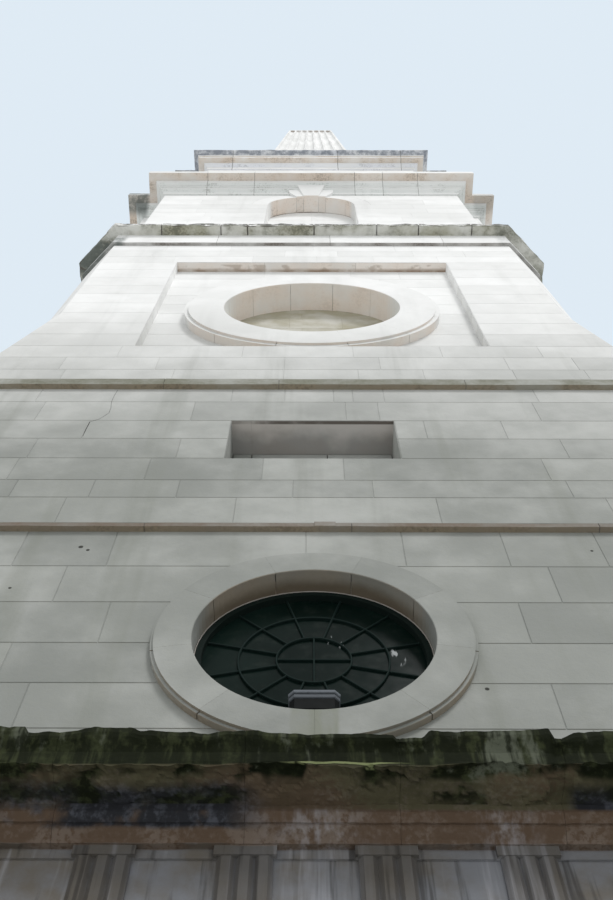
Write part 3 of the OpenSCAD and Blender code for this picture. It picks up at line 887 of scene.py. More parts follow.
def mend_string(stones):
    """A short new block let into the front of the lower string."""
    front = face_plane(0, -low("lower_string").y)
    foot, head = lower_string_z - 0.004, lower_string_z + 0.026
    slab(stones, front, [(0.003, foot), (0.073, foot), (0.073, head), (0.003, head)], 0.006, 1.0)


coping_seat, fascia_h = 0.27, 0.24
coping_joints = (-1.083, -0.652, -0.46, 0.018, 0.471, 0.775, 1.159)  # seen on the front


def lay_coping(stones):
    path = canted_path(tower_half, cant_leg)
    out = -low("coping").y - tower_half
    front = {0: [x + tower_half - cant_leg for x in coping_joints]}
    fascia = [(-0.006, 0), (0.022, 0), (0.022, fascia_h), (-0.006, fascia_h)]
    moulding(stones, path, grown(fascia, fascia_z), sizes=(0.5, 0.9), grain=0.1, wear=wavy(0.001))
    top = [
        (-coping_seat, 0), (out - 0.006, 0), (out, 0.007), (out, 0.03), (out, 0.057), (out - 0.02, 0.06),
        (-0.006, 0.065), (-coping_seat, 0.065)]
    moulding(stones, path, grown(top, fascia_z + fascia_h, 0.003), front, (0.28, 0.5), 0.03, wear=wavy(0.008, 15),
             gap=2 * open_joint)


string_stones = laid("strings", 31, lay_strings, mend_string)
coping_stones = laid("coping", 35, lay_coping)

# %% [markdown]
# ## The broken cornices
#
# The two big cornices follow the notched plan, breaking back at each corner. Their sections have
# the mouldings of a classical cornice: bed mouldings below, a flat soffit, the upright corona and a
# crown. The lists below repeat the solid's own section as shares of its height and reach. Over each
# niche a narrow keystone stands before a wider one, and both break up into the bed mouldings.

# %% Lay the cornices
def cornice_section(shares, node, half):
    out, foot = -low(node).y - half, low(node).z
    h = high(node).z - foot
    outline = [(-0.006, 0)] + [(out * a, h * b) for a, b in shares] + [(-0.006, h)]
    return grown(outline, foot, 0.0025)


niche_shares = [
    (0.08, 0), (0.08, 0.07), (0.14, 0.12), (0.27, 0.19), (0.31, 0.25), (0.36, 0.25), (0.36, 0.33), (0.42, 0.33),
    (0.53, 0.39), (0.58, 0.48), (0.58, 0.575), (1, 0.575), (1, 0.8), (0.97, 0.9)]
top_shares = [
    (0.07, 0), (0.07, 0.1), (0.12, 0.22), (0.26, 0.32), (0.32, 0.4), (0.32, 0.5), (0.65, 0.5), (0.65, 0.68),
    (0.7, 0.68), (0.75, 0.78), (0.92, 0.85), (1, 0.9), (1, 0.95)]
niche_joints, top_joints = (-0.963, -0.526, 0.405, 0.665, 0.99), (-0.903, 0.3125, 1.04)  # seen on the front
key_w = 0.135
key_stones = [  # widths at the foot and at the head, reach, and the share of the height where it is widest
    (key_w, 2.0 * key_w, 0.076, 0.8), (1.95 * key_w, 3 * key_w, 0.052, 0.35)]
key_head = niche_cornice_z + 0.575 * (high("niche_cornice").z - niche_cornice_z)


def lay_key(stones, plane, foot_w, head_w, reach, shoulder):
    """A wedge stone on the arch of a niche: it leans out from its foot and stands upright at its head."""
    across = [i / 6 - 0.5 for i in range(7)]
    arch = [arch_spring + math.sqrt(arch_half ** 2 - (foot_w * a) ** 2) for a in across]
    rings = []
    for share in (0.0, 0.004, 0.35, 0.68, 0.72, 0.8, 0.99):
        width = foot_w + (head_w - foot_w) * min(1.0, share / shoulder)
        out = reach * min(1.0, 0.2 + 0.8 * share / 0.68) - (0.002 if share == 0 else 0)
        row = [(width * a, z + (key_head - z) * share) for a, z in zip(across, arch)]
        rings.append([plane(u, v, out) for u, v in row] + [plane(u, v, -sunk) for u, v in reversed(row)])
    stones.loft(rings, 0.8)


def lay_keys(stones):
    for turn in range(4):
        for key in key_stones:
            lay_key(stones, face_plane(turn, niche_half), *key)


def lay_cornices(stones):
    moulding(stones, cross_path(niche_half, niche_arm), cornice_section(niche_shares, "niche_cornice", niche_half),
             {0: [x + niche_arm for x in niche_joints]}, grain=0.08, wear=wavy(0.0022), gap=0.7 * open_joint)
    moulding(stones, cross_path(top_half, top_arm), cornice_section(top_shares, "top_cornice", top_half),
             {0: [x + top_arm for x in top_joints]}, grain=0.06, wear=wavy(0.004, 11), gap=open_joint)


cornice_stones = laid("cornices", 32, lay_cornices)
keys = laid("keystones", 36, lay_keys)

# %% [markdown]
# ## The fluted spire
#
# Half of the tower's height is its spire, an obelisk with seven flutes on each face and a plain
# pointed cap. Each course is a ring of stones with their joints between two flutes. A stone's outline
# is worked out anew at every level, because the flutes get narrower as the spire rises, and close
# like a quarter of a ball at both ends.

# %% Lay the spire
spire_low, spire_high = low("spire_shaft").z, high("spire_shaft").z
spire_top = high("spire_cap").z
spire_foot_half, spire_head_half, spire_tip_half = high("spire_shaft").x, 0.47, 0.03
flute_count, flute_share, flute_deep, flute_margin = 7, 0.4, 0.8, 0.09
face_pitches = flute_count + 0.25  # the width of a face, in pitches from flute to flute
spire_depth = 0.19
spire_joints = [(2, 5), (1, 4), (3, 6)]  # the flutes before which a course has its joints


def spire_half(z):
    if z > spire_high:
        return spire_head_half + (spire_tip_half - spire_head_half) * (z - spire_high) / (spire_top - spire_high)
    return spire_foot_half + (spire_head_half - spire_foot_half) * (z - spire_low) / (spire_high - spire_low)


def flute_radius(z):
    """The radius of a flute: it is nothing in the margins, and falls off as a ball does at the ends."""
    full = 2 * spire_half(z) / face_pitches * flute_share
    short = 1 - (min(z - spire_low, spire_high - z) - flute_margin) / full
    return full * math.sqrt(1 - min(1.0, max(0.0, short)) ** 2)


def spire_ring(plane, z, first, last, lift):
    """The outline of one stone at a height, from before one flute to before another."""
    half, radius = spire_half(z), flute_radius(z)
    pitch = 2 * half / face_pitches
    depth = min(spire_depth, 0.95 * half)
    ends = []
    for place, edge in ((first, joint / 2), (last, -joint / 2)):
        at_corner = place in (0, flute_count)
        u = math.copysign(half, -edge) if at_corner else (place - flute_count / 2) * pitch + edge
        ends.append((u, math.copysign(depth, edge) if at_corner else 0.0))
    (u0, in0), (u1, in1) = ends
    front = [(u0, 0.0)]
    for i in range(first, last):
        middle = (i - (flute_count - 1) / 2) * pitch
        front += [(middle - radius * math.cos(a), -flute_deep * radius * math.sin(a))
                  for a in (math.pi * k / 6 for k in range(7))]
    front += [(u1, 0.0), (u1 + in1, -depth), (u0 + in0, -depth)]
    return [plane(u, z + lift, half + out) for u, out in front]


def lay_spire(stones):
    shaft_rows, cap_rows = 28, 3
    beds = [spire_low + (spire_high - spire_low) * k / shaft_rows for k in range(shaft_rows + 1)]
    beds += [spire_high + (spire_top - spire_high) * (k + 1) / cap_rows for k in range(cap_rows)]
    for k, (foot, head) in enumerate(zip(beds, beds[1:])):
        ends = [0.0, 0.004] + [i / 16 for i in range(1, 16)] + [0.996, 1.0]
        shares = ends if k in (0, shaft_rows - 1) else [0.0, 0.5, 1.0]
        heights = [foot + (head - foot) * share for share in shares]
        marks = (0, *(spire_joints[k % 3] if k < shaft_rows + 1 else (4,)), flute_count)
        for turn in range(4):
            plane = face_plane(turn, 0)
            for first, last in zip(marks, marks[1:]):
                lifts = [joint / 2 if z == foot else -joint / 2 if z == head else 0.0 for z in heights]
                stones.loft([spire_ring(plane, z, first, last, lift) for z, lift in zip(heights, lifts)])


spire_courses = laid("spire", 37, lay_spire)

# %% [markdown]
# ## The ledge over the door
#
# The big ledge over the door is the piece that the weather has hurt most: its crown is eaten away to
# a ragged line, stone by stone. Its section is first divided into short steps, then carried round
# the front and both ends, and every point near the crown is pulled down by a noise that is strong
# where the ledge stands out and nothing at the wall. It replaces the plain solid.

# %% Divide a section into short steps
def divided(outline, step):
    """The same closed outline with no side longer than a step."""
    fine = []
    for (x0, y0), (x1, y1) in zip(outline, outline[1:] + outline[:1]):
        count = max(1, round(math.hypot(x1 - x0, y1 - y0) / step))
        fine += [(x0 + (x1 - x0) * i / count, y0 + (y1 - y0) * i / count) for i in range(count)]
    return fine


def slope_between(value, start, end):
    """0 at the start, 1 at the end and smooth between them."""
    t = min(1.0, max(0.0, (value - start) / (end - start)))
    return t * t * (3 - 2 * t)


print("a side of 0.1 in steps of 0.03:", len(divided([(0, 0), (0.1, 0)], 0.03)) // 2)

# %% Lay the ledge over the door
ledge_out, ledge_seat = 0.165, 0.13
ledge_joints = (-0.497, -0.135, 0.160, 0.470)
ledge_shares = [
    (0.12, 0), (0.14, 0.05), (0.24, 0.15), (0.24, 0.18), (0.27, 0.18), (0.33, 0.29), (0.33, 0.4), (0.9, 0.4),
    (0.9, 0.64), (0.93, 0.72), (0.98, 0.84), (1, 0.91), (1, 1)]
ledge_foot = low("door_cornice").z
frieze_half = high("door_cornice").x - ledge_out
frieze_front = -low("door_cornice").y - ledge_out
ledge_steps = [  # where the crown steps up or down: start, end and rise
    (-0.567, -0.556, -0.0175), (-0.495, -0.41, 0.0135), (-0.36, -0.335, -0.011), (-0.335, -0.219, -0.003),
    (-0.21, -0.17, 0.009), (-0.15, -0.03, -0.0106), (0.08, 0.147, -0.0045), (0.148, 0.153, -0.012),
    (0.16, 0.198, 0.004), (0.2, 0.228, 0.022), (0.24, 0.45, 0.0075), (0.453, 0.458, -0.0295),
    (0.466, 0.505, 0.015), (0.505, 0.558, 0.006)]


def eaten(point, d, z):
    """The wear of the ledge: bites out of the crown, flakes off the soffit and a rough skin."""
    out = slope_between(d, 0.05, 0.15)
    crown = slope_between(z, ledge_foot + 0.1, door_crown_z)
    slow = noise.noise(point * 5.5) + 0.5 * noise.noise(point * 17)
    quick = noise.noise(point * 48) + 0.6 * noise.noise(point * 110)
    drop = crown * out * (0.0005 + 0.007 * max(0.0, slow + 0.25) + 0.003 * quick)
    for start, end, rise in ledge_steps:
        drop -= crown * out * rise * slope_between(point.x, start, end)
    flat = slope_between(abs(z - ledge_foot - 0.064), 0.012, 0.0)
    flake = slope_between(noise.noise(point * 8.5) + 0.3 * noise.noise(point * 40), -0.02, 0.05)
    crust = slope_between(noise.noise(point * 14 + Vector((7, 3, 1))) + 0.35 * noise.noise(point * 60), 0.02, 0.08)
    lip = flat * slope_between(d, 0.105, 0.14)
    bite = max(0.0, slow + 0.15) + 0.35 * quick
    rough = noise.noise_vector(point * 26) * 0.0012 + noise.noise_vector(point * 70) * 0.0006
    rough += noise.noise_vector(point * 22) * (0.0025 * crown * out + 0.004 * lip)
    return rough + Vector((0, 0, flat * (flake * 0.004 - crust * 0.002) + lip * 0.012 * bite - drop))


def lay_ledge(stones):
    h = door_crown_z - ledge_foot
    section = [(-ledge_seat, 0)] + [(ledge_out * a, h * b) for a, b in ledge_shares] + [(-ledge_seat, h)]
    section = divided([(d, z + ledge_foot) for d, z in section], 0.0065)
    path = [(-frieze_half, -tower_half), (-frieze_half, -frieze_front), (frieze_half, -frieze_front),
            (frieze_half, -tower_half)]
    front = {1: [x + frieze_half for x in ledge_joints]}
    moulding(stones, path, section, front, grain=0.006, closed=False, wear=eaten, gap=hair_joint)


ledge_stones = laid("ledge over the door", 33, lay_ledge)

# %% [markdown]
# ## The plinth
#
# The plinth is a thick course at the foot with a sloped top. It stops at the steps on the front, so
# its path is open: it starts right of the steps and ends left of them.

# %% Lay the plinth
steps_half = 0.8675


def lay_plinth(stones):
    out = -low("plinth").y - tower_half
    path = [(steps_half, -tower_half), (tower_half, -tower_half), (tower_half, tower_half),
            (-tower_half, tower_half), (-tower_half, -tower_half), (-steps_half, -tower_half)]
    half_h = (ground_top - out) / 2
    lower = [(-0.006, 0.002), (out, 0.002), (out, half_h), (-0.006, half_h)]
    upper = [(-0.006, half_h + joint), (out, half_h + joint), (out, ground_top - out), (0.001, ground_top),
             (-0.006, ground_top)]
    for section in (lower, upper):
        moulding(stones, path, inset(section, -proud), sizes=(0.45, 0.8), grain=0.15, closed=False, wear=wavy(0.001))


plinth_stones = laid("plinth", 34, lay_plinth)

# %% [markdown]
# ## Glazing bars
#
# Each round window has two ring bars, twelve spokes and a small cross in the middle. A ring bar is a
# section turned all the way round, so its two ends meet and need no caps; a spoke is a short loft
# between two rings.

# %% Make the glazing bars
bar_w, bar_d = 0.0055, 0.008
bar_rings, ring_sides, spokes = (0.103, 0.2075), 64, 12
frame_inner = window_radius - 0.0235


def bar_section(half, back, front, flat):
    """A bar's outline: as wide as twice half at its back, and flat at its front."""
    return [(-half, back), (half, back), (half, front - 0.002), (flat, front), (-flat, front), (-half, front - 0.002)]


def ring_bar(stones, plane, radius, width, back, front):
    rings = []
    for i in range(ring_sides + 1):
        angle = 2 * math.pi * i / ring_sides
        rings.append([
            plane((radius + w) * math.sin(angle), window_centre + (radius + w) * math.cos(angle), out)
            for w, out in bar_section(width / 2, back, front, width / 4)])
    stones.loft(rings, 0.5)


def straight_bar(stones, plane, start, end, angle, front):
    """A bar along a radius, from one distance to another, at an angle from the top."""
    c, s = math.cos(angle), math.sin(angle)
    section = bar_section(bar_w / 2, glass_depth, front, bar_w / 4)
    rings = [[plane(r * s + w * c, window_centre + r * c - w * s, out) for w, out in section] for r in (start, end)]
    stones.loft(rings, 0.5)


def lay_bars(stones):
    front = glass_depth + bar_d
    inner, outer = bar_rings
    for turn in range(4):
        plane = face_plane(turn, tower_half)
        for radius in bar_rings:
            ring_bar(stones, plane, radius, bar_w, glass_depth, front)
        for i in range(spokes):
            angle = math.radians(360 * (i + 0.5) / spokes)
            for start, end in ((inner, outer), (outer, frame_inner + 0.004)):
                straight_bar(stones, plane, start, end, angle, front - 0.001)
        for i in range(2):
            straight_bar(stones, plane, -inner, inner, math.radians(90 * i), front - 0.001 - 0.0005 * i)


def lay_beads(stones):
    """A thin line of sealant where each frame meets its stone."""
    front = -low("window_frames").y - tower_half
    for turn in range(4):
        ring_bar(stones, face_plane(turn, tower_half), window_radius - 0.004, 0.003, front - 0.002, front + 0.002)


bars, beads = laid("glazing bars", 41, lay_bars), laid("beads of the frames", 43, lay_beads)

# %% [markdown]
# ## Scars
#
# The front of the tower has one long crack and a few old fixing holes. They are marks a fraction of a
# millimetre proud, laid where the photograph shows them, as (across, height) on the front face.

# %% Mark the scars
crack_path = [(-0.866, 5.10), (-0.869, 5.02), (-0.869, 4.95), (-0.859, 4.88), (-0.853, 4.82), (-0.88, 4.754),
              (-0.915, 4.72), (-0.916, 4.645), (-0.915, 4.573)]
crack_section = ((1, -sunk), (-1, -sunk), (-0.6, 0.0004), (0.6, 0.0004))  # shares of its half width, and depths
fixing_holes = [  # across, height and radius
    (-0.738, 3.668, 0.008), (-0.712, 3.648, 0.006), (-0.897, 3.419, 0.005), (0.878, 3.649, 0.005),
    (0.436, 2.938, 0.006)]


def mark_scars(stones):
    plane = face_plane(0, tower_half + proud)
    wander = [(x + 0.006 * noise.noise(Vector((x, z * 30, 0))), z) for x, z in crack_path]
    for (x0, z0), (x1, z1) in zip(wander, wander[1:]):
        along = Vector((x1 - x0, z1 - z0)).normalized()
        side = Vector((along.y, -along.x)) * 0.0010
        stones.loft([[plane(x + side.x * w, z + side.y * w, out) for w, out in crack_section]
                     for x, z in ((x0, z0), (x1, z1))], 0.2)
    angles = [2 * math.pi * i / 9 for i in range(9)]
    for x, z, radius in fixing_holes:
        stones.loft([[plane(x + r * math.sin(a), z + r * math.cos(a), out) for a in angles]
                     for r, out in ((radius, -sunk), (radius, 0.0003), (radius * 0.8, 0.0005))], 0.1)


scars = laid("scars", 44, mark_scars)

# %% [markdown]
# ## The floodlight
#
# A modern floodlight stands on the sill of the front window: a shallow pale box with rounded ends,
# split by louvre gaps, and held by two small arms. Its rounded outline is made once and lofted
# in layers, each a little in from the last, so that the layers read as louvres. The louvre gaps and
# the lower part of the box are painted dark with shade.

# %% Make the floodlight
lamp_low, lamp_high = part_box("floodlight")
lamp_half = 0.065
lamp_low.x, lamp_high.x = -lamp_half, lamp_half
# A tone of 0 paints shade: the louvre gap and the lower part of the box are nearly black.
lamp_layers = (  # foot and head as shares of the height, inset, tone
    (0.0, 0.56, 0.004, 0.0), (0.56, 0.74, 0.0015, 0.6), (0.74, 0.80, 0.006, 0.0), (0.80, 0.96, 0.0, 0.85),
    (0.96, 1.0, 0.003, 0.25))


def rounded(x0, y0, x1, y1, radius, corner_steps):
    """A rectangle with round corners, in plan."""
    points = []
    for cx, cy, start in ((x1 - radius, y0 + radius, -90), (x1 - radius, y1 - radius, 0),
                          (x0 + radius, y1 - radius, 90), (x0 + radius, y0 + radius, 180)):
        for i in range(corner_steps + 1):
            angle = math.radians(start + 90 * i / corner_steps)
            points.append((cx + radius * math.cos(angle), cy + radius * math.sin(angle)))
    return points


def make_floodlight(stones):
    h = lamp_high.z - lamp_low.z
    outline = rounded(lamp_low.x, lamp_low.y, lamp_high.x, lamp_high.y, 0.014, 1)
    for foot, head, cut, tone in lamp_layers:
        z0, z1, edge = lamp_low.z + h * foot, lamp_low.z + h * head, 0.002
        rings = [[Vector((x, y, z)) for x, y in inset(outline, cut + more)]
                 for z, more in ((z0, edge), (z0 + edge, 0), (z1 - edge, 0), (z1, edge))]
        stones.loft(rings, tone)
    for side in (-1, 1):
        arm_x = side * (lamp_high.x - 0.03)
        arm = rounded(arm_x - 0.004, lamp_low.y + 0.02, arm_x + 0.004, lamp_high.y - 0.012, 0.002, 2)
        stones.loft([[Vector((x, y, z)) for x, y in arm] for z in (lamp_low.z - 0.016, lamp_high.z + 0.012)], 0.3)


lamp = laid("floodlight", 42, make_floodlight)

# %% [markdown]
# ## Limestone
#
# Pale limestone is painted grey with shade low down and white with sunlight high up, and it is
# stained grey, brown or green where the rain doesn't wash it. A finish is mixed from a few masks: the
# tone of each block, broad clouds, fine grain, the height above the ground, and the way a face looks,
# since a soffit keeps its stains. Each kind of stain or painted shade is a function of its own, and
# the settings of a finish choose how much of each it gets.

# %% Name the colours of the limestone
# The white is painted sunlight on the high stone, and the two greys after it are painted shade on the low stone. The
# greys of the round recess's back, the deep panel and the cornices' wings, and the joint brown, are painted shade
# too.
sunlit_white, shade_grey, deep_shade_grey = (0.93, 0.93, 0.925), (0.292, 0.303, 0.286), (0.203, 0.214, 0.202)
soffit_brown, soffit_dark, reveal_brown = (0.30, 0.215, 0.15), (0.10, 0.082, 0.06), (0.145, 0.115, 0.078)
warm_beige, crown_soot, joint_shade_brown = (0.80, 0.66, 0.55), (0.085, 0.085, 0.075), (0.12, 0.11, 0.095)
coping_olive, ring_olive, cornice_tan = (0.29, 0.28, 0.18), (0.30, 0.245, 0.18), (0.66, 0.53, 0.42)
niche_bed, top_bed, fascia_dark = (0.70, 0.73, 0.71), (0.80, 0.82, 0.89), (0.17, 0.145, 0.125)
string_olive, top_soot, wet_grey = (0.16, 0.16, 0.115), (0.22, 0.24, 0.28), (0.19, 0.20, 0.155)
crown_blue, reveal_dark = (0.50, 0.53, 0.60), (0.07, 0.052, 0.032)
string_brown, recess_shade_grey, panel_dark = (0.27, 0.22, 0.155), (0.33, 0.30, 0.20), (0.14, 0.12, 0.105)
panel_grey, panel_shade_grey = (0.56, 0.53, 0.51), (0.33, 0.32, 0.31)
string_rust, wing_shade_grey = (0.14, 0.105, 0.075), (0.13, 0.15, 0.14)
lichen_green, run_grey = (0.20, 0.23, 0.15), (0.20, 0.21, 0.18)
print("white where it is washed:", sunlit_white)

# %% Share the masks of a stone
class StoneFinish(Finish):
    """A stone's finish: the masks that all its stains use. Each noise is a scale and a detail."""

    def __init__(self, name, cloud, blotch, fine):
        super().__init__(name)
        self.across, self.deep, self.height = (self.axis(letter) for letter in "XYZ")
        self.up = self.facing()
        self.cloud, self.blotch, self.fine = (self.noise(*scale) for scale in (cloud, blotch, fine))

    def ragged(self, value, wander):
        """A value whose edges wander with the blotches."""
        return value + (self.blotch - 0.5) * wander


print("masks ready")

# %% Mix the clean stone
def painted_light_stone(stone, blocks, sunlit, streaks, run):
    """Grey blocks in painted shade low down, white ones in painted sunlight high up, and dark runs that fade where
    the stone is white.
    """
    tone, cloud, blotch = stone.tone(), stone.cloud, stone.blotch
    patch = tone * blocks + cloud * (0.6 - blocks * 0.4) + blotch * 0.35
    # Painted shade and sunlight: the grey of the low blocks gives way to white with height.
    grey = stone.mix(patch.rise(0.25, 0.95), deep_shade_grey, shade_grey)
    white = stone.height.rise(*sunlit) * 0.85 + (cloud + blotch * 0.5).rise(0.62, 1.0) * 0.15
    colour = stone.mix(white * (tone * 0.15 + 0.85), grey, sunlit_white)
    colour = stone.mix(stone.fine * 0.5 + 0.05, colour, (0.62, 0.60, 0.55), "SOFT_LIGHT")
    return stone.mix(run * streaks * (1.1 - white), colour, run_grey)


print("clean stone can be mixed")

# %% Stain the recesses and the reveals
def recess_stains(stone, colour, under, spread, reach, share):
    """Brown patches under the soffits, painted shade on the back of the round recess, and a dark head of the panel,
    with painted shade deeper into it.
    """
    height, blotch = stone.height, stone.blotch
    inner = stone.ragged(reach, 0.03).rise(tower_half - 0.03, tower_half - 0.055) * under
    below_fascia = height.rise(fascia_z, fascia_z - 0.1)
    patches = stone.noise(9, 5).rise(0.5, 0.62) * reach.rise(tower_half - 0.008, tower_half - 0.02)
    # Painted shade on the back of the round recess, which is nearer to the axis than anything else at its height.
    shaded = reach.rise(1.46, 1.44) * height.rise(5.6, 5.7) * height.rise(8.0, 7.9)
    shaded = shaded * (1 - stone.up.rise(0.2, 0.6)) * ((blotch + stone.cloud).rise(0.75, 1.15) * 0.4 + 0.5)
    # The head of the deep panel is the only soffit between the two strings; its grey is painted with shade that
    # deepens towards the back.
    panel = height.rise(4.2, 4.3) * height.rise(4.85, 4.8) * under
    deep = stone.mix((reach + (stone.noise(4, 4) - 0.5) * 0.25).rise(1.58, 1.50), panel_grey, panel_shade_grey)
    lip = reach.rise(tower_half - 0.017, tower_half - 0.012) * (blotch + stone.across * 0.8).rise(0.2, 0.6)
    return stone.coats(
        colour, (inner * below_fascia * (spread * 1.3) * share, soffit_brown),
        (under * height.rise(5.0, 5.2) * below_fascia * patches * share * 0.6, soffit_brown), (shaded, recess_shade_grey),
        (panel * (1 - spread * 0.2), deep), (panel * lip, panel_dark))


def reveal_stains(stone, colour, reach, run, share):
    """Brown heads of the round windows' reveals, and a wet streak at the floodlight."""
    inward = stone.ragged(reach, 0.05).rise(tower_half + 0.01, tower_half - 0.03)
    damp = (stone.up * -1).rise(0.0, 0.75)
    inner = stone.ragged(reach, 0.03).rise(tower_half - 0.02, tower_half - 0.06)
    mottled = (stone.blotch * 0.6 + stone.cloud * 0.6).rise(0.5, 0.72)
    # The wet streak is on the sill of the front window, behind the floodlight.
    wet = stone.ragged(stone.across.size(), 0.03).rise(0.062, 0.05)
    wet = wet * stone.height.rise(window_centre - 0.25, window_centre - 0.3) * stone.deep.rise(-1.5, -1.6)
    return stone.coats(
        colour, (inward * damp * share, reveal_brown), (inner * damp * mottled * 0.8, reveal_dark),
        (wet * (stone.blotch + run * 0.4).rise(0.3, 0.6) * 0.75, wet_grey))


print("recesses and reveals can be stained")

# %% Stain the crowns and the wings of a cornice
def crown_line(stone, colour, foot, soot):
    """Soot along a crown, from a height upwards."""
    edge = stone.ragged(stone.height, 0.03).rise(foot, foot + 0.012) * stone.height.rise(foot + 0.12, foot + 0.1)
    speckle = (stone.noise(16, 5) + stone.fine * 0.4).rise(0.5, 0.85)
    return stone.mix(edge * speckle * 0.9, colour, soot)


def wing_shade(stone, colour, spread, start):
    """Painted shade on the corners of a cornice, from a distance on, and less of it on the right ones."""
    sides = stone.across.size().rise(start, start + 0.05) * stone.deep.size().rise(start - 0.2, start - 0.1)
    sides = sides * (1 - stone.across.rise(0, 0.1) * 0.6)
    return stone.mix(sides * (spread * 0.6 + stone.fine * 0.5).rise(0.2, 0.7) * 0.85, colour, wing_shade_grey)


print("cornices can be stained")

# %% Mix a limestone
def limestone(
        name, soffit=0.7, lichen=0.5, sunlit=(4.1, 7.0), blocks=0.5, streaks=0.3, stained_from=0.2,
        stain=soffit_brown, spots=0.6, reveal=0.0, corner=0.0, olive=0.0, shaded_seam=0.0, wing=0.0, bands=(), crowns=()):
    """bands are (foot, head, stain) for soffits at some heights; the pair of heights of the painted sunlight gives
    where it begins and where it is full.
    """
    stone = StoneFinish(name, cloud=(1.1, 5), blotch=(6, 5), fine=(70, 6))
    height, blotch, fine = stone.height, stone.blotch, stone.fine
    run = stone.noise(3.2, 4, (2.2, 2.2, 0.16)).rise(0.52, 0.72)
    spread = (blotch * 0.6 + stone.noise(2.6, 5) * 0.6).rise(0.42, 0.75)
    under = (stone.up * -1).rise(stained_from, stained_from + 0.3)
    reach = stone.across.size().most(stone.deep.size())
    colour = painted_light_stone(stone, blocks, sunlit, streaks, run)
    for foot, head, tint in bands:
        stain = stone.mix(height.rise(foot, foot + 0.006) * height.rise(head, head - 0.006), stain, tint)
    if olive:
        tint = stone.mix(height.rise(4.0, 5.0), string_rust, string_olive)
        colour = stone.mix((spread * 0.6 + fine * 0.4 + 0.25) * olive, colour, tint)
    colour = stone.coats(
        colour, (under * soffit * (spread * 0.65 + 0.35), stain),
        (under * soffit * (blotch * fine).rise(0.24, 0.42) * spread * spots, soffit_dark))
    # Painted shade: a dark line on a soffit where it meets the back of a recess, at that distance from the axis.
    if shaded_seam:
        dark = reach.near(shaded_seam, 0.012) * under * (blotch.rise(0.3, 0.6) * 0.6 + 0.4)
        colour = stone.mix(dark, colour, soffit_dark)
    if corner:
        colour = recess_stains(stone, colour, under, spread, reach, corner)
    if reveal:
        colour = reveal_stains(stone, colour, reach, run, reveal)
    green = (blotch + fine * 0.4).rise(0.5, 0.85)
    colour = stone.mix(stone.up.rise(0.35, 0.85) * lichen * (green * 0.8 + 0.2), colour, lichen_green)
    for foot, soot in crowns:
        colour = crown_line(stone, colour, foot, soot)
    if wing:
        colour = wing_shade(stone, colour, spread, wing)
    relief = fine * 0.7 + stone.noise(240, 2) * 0.3 + blotch * 1.5
    return stone.surface(base_color=colour, roughness=fine * 0.15 + 0.78, normal=stone.bump(relief, 0.0022, 0.55))


print("limestone can be mixed")

# %% Make the limestone finishes
ashlar = limestone("ashlar", blocks=0.3, streaks=0.4, stained_from=0.8)
lining = limestone("lining_stone", soffit=0.6, stain=warm_beige, spots=0.15, corner=0.8)
wall_core = limestone("wall_core", blocks=0.0, soffit=0.85, corner=0.4)
# The solids behind open joints are painted dark brown as shade.
joint_shade_core = limestone("joint_shade_core", soffit=1.8, blocks=0.0, stained_from=-2.0, stain=joint_shade_brown)
trim = limestone("trim_stone", soffit=0.9, lichen=0.8, blocks=0.25)
string_finish = limestone("string_stone", soffit=0.95, lichen=0.8, blocks=0.25, olive=0.95, stain=string_brown)
coping_finish = limestone("coping_stone", soffit=0.85, lichen=0.8, blocks=0.25, stain=coping_olive, wing=1.3,
                          bands=[(fascia_z - 0.1, fascia_z + 0.05, fascia_dark)],
                          crowns=[(8.25, string_olive), (8.266, crown_soot)])
ring_stone = limestone("ring_stone", soffit=0.85, blocks=0.2, stain=ring_olive, spots=0.2, reveal=0.95)
dial_stone = limestone("dial_stone", soffit=0.7, blocks=0.2, stain=warm_beige, spots=0.15)
key_stone = limestone("key_stone", soffit=0.7, blocks=0.2, stain=warm_beige, spots=0.15, stained_from=0.6)
# The arch stones get painted shade along the back of the niche.
arch_stone = limestone("arch_stone", soffit=0.75, blocks=0.2, stain=warm_beige, shaded_seam=niche_half - niche_depth)
cornice = limestone("cornice_stone", soffit=0.8, lichen=0.9, blocks=0.3, stain=cornice_tan, spots=0.5, wing=1.5,
                    bands=[(niche_cornice_z - 0.1, niche_cornice_z + 0.206, niche_bed),
                           (top_cornice_z - 0.1, top_cornice_z + 0.146, top_bed),
                           (top_cornice_z + 0.21, spire_foot + 0.1, crown_blue)],
                    crowns=[(10.755, crown_soot), (13.115, top_soot)])
# The plinth stays in painted shade, because its painted sunlight would begin far above it.
plinth_finish = limestone("plinth_stone", sunlit=(6, 12), streaks=0.6)
spire_finish = limestone("spire_stone", blocks=0.3, streaks=0.1)
print("limestone finishes:", 14)

# %% [markdown]
# ## The sooty doorcase
#
# Under its ledge the doorcase never sees rain. The crown of the ledge is nearly black-green with
# moss, with pale streaks where water runs. The soffit is olive and brown with patches of black soot,
# the mouldings below it are brown, and the frieze is a cold grey, streaked with lime.

# %% Name the colours of the doorcase
moss_dark, moss_green, crown_grey = (0.006, 0.008, 0.003), (0.034, 0.040, 0.018), (0.10, 0.11, 0.082)
olive, umber, soot = (0.095, 0.086, 0.052), (0.098, 0.072, 0.048), (0.024, 0.025, 0.029)
moulding_brown, moulding_pale = (0.10, 0.068, 0.047), (0.185, 0.15, 0.125)
frieze_grey, frieze_brown, lime = (0.192, 0.198, 0.214), (0.145, 0.13, 0.11), (0.42, 0.42, 0.45)
grime, lichen_lime = (0.045, 0.042, 0.040), (0.24, 0.27, 0.13)
soffit_moss, soot_pale, grime_brown = (0.022, 0.023, 0.010), (0.07, 0.074, 0.088), (0.024, 0.02, 0.016)
print("the darkest moss:", moss_dark)

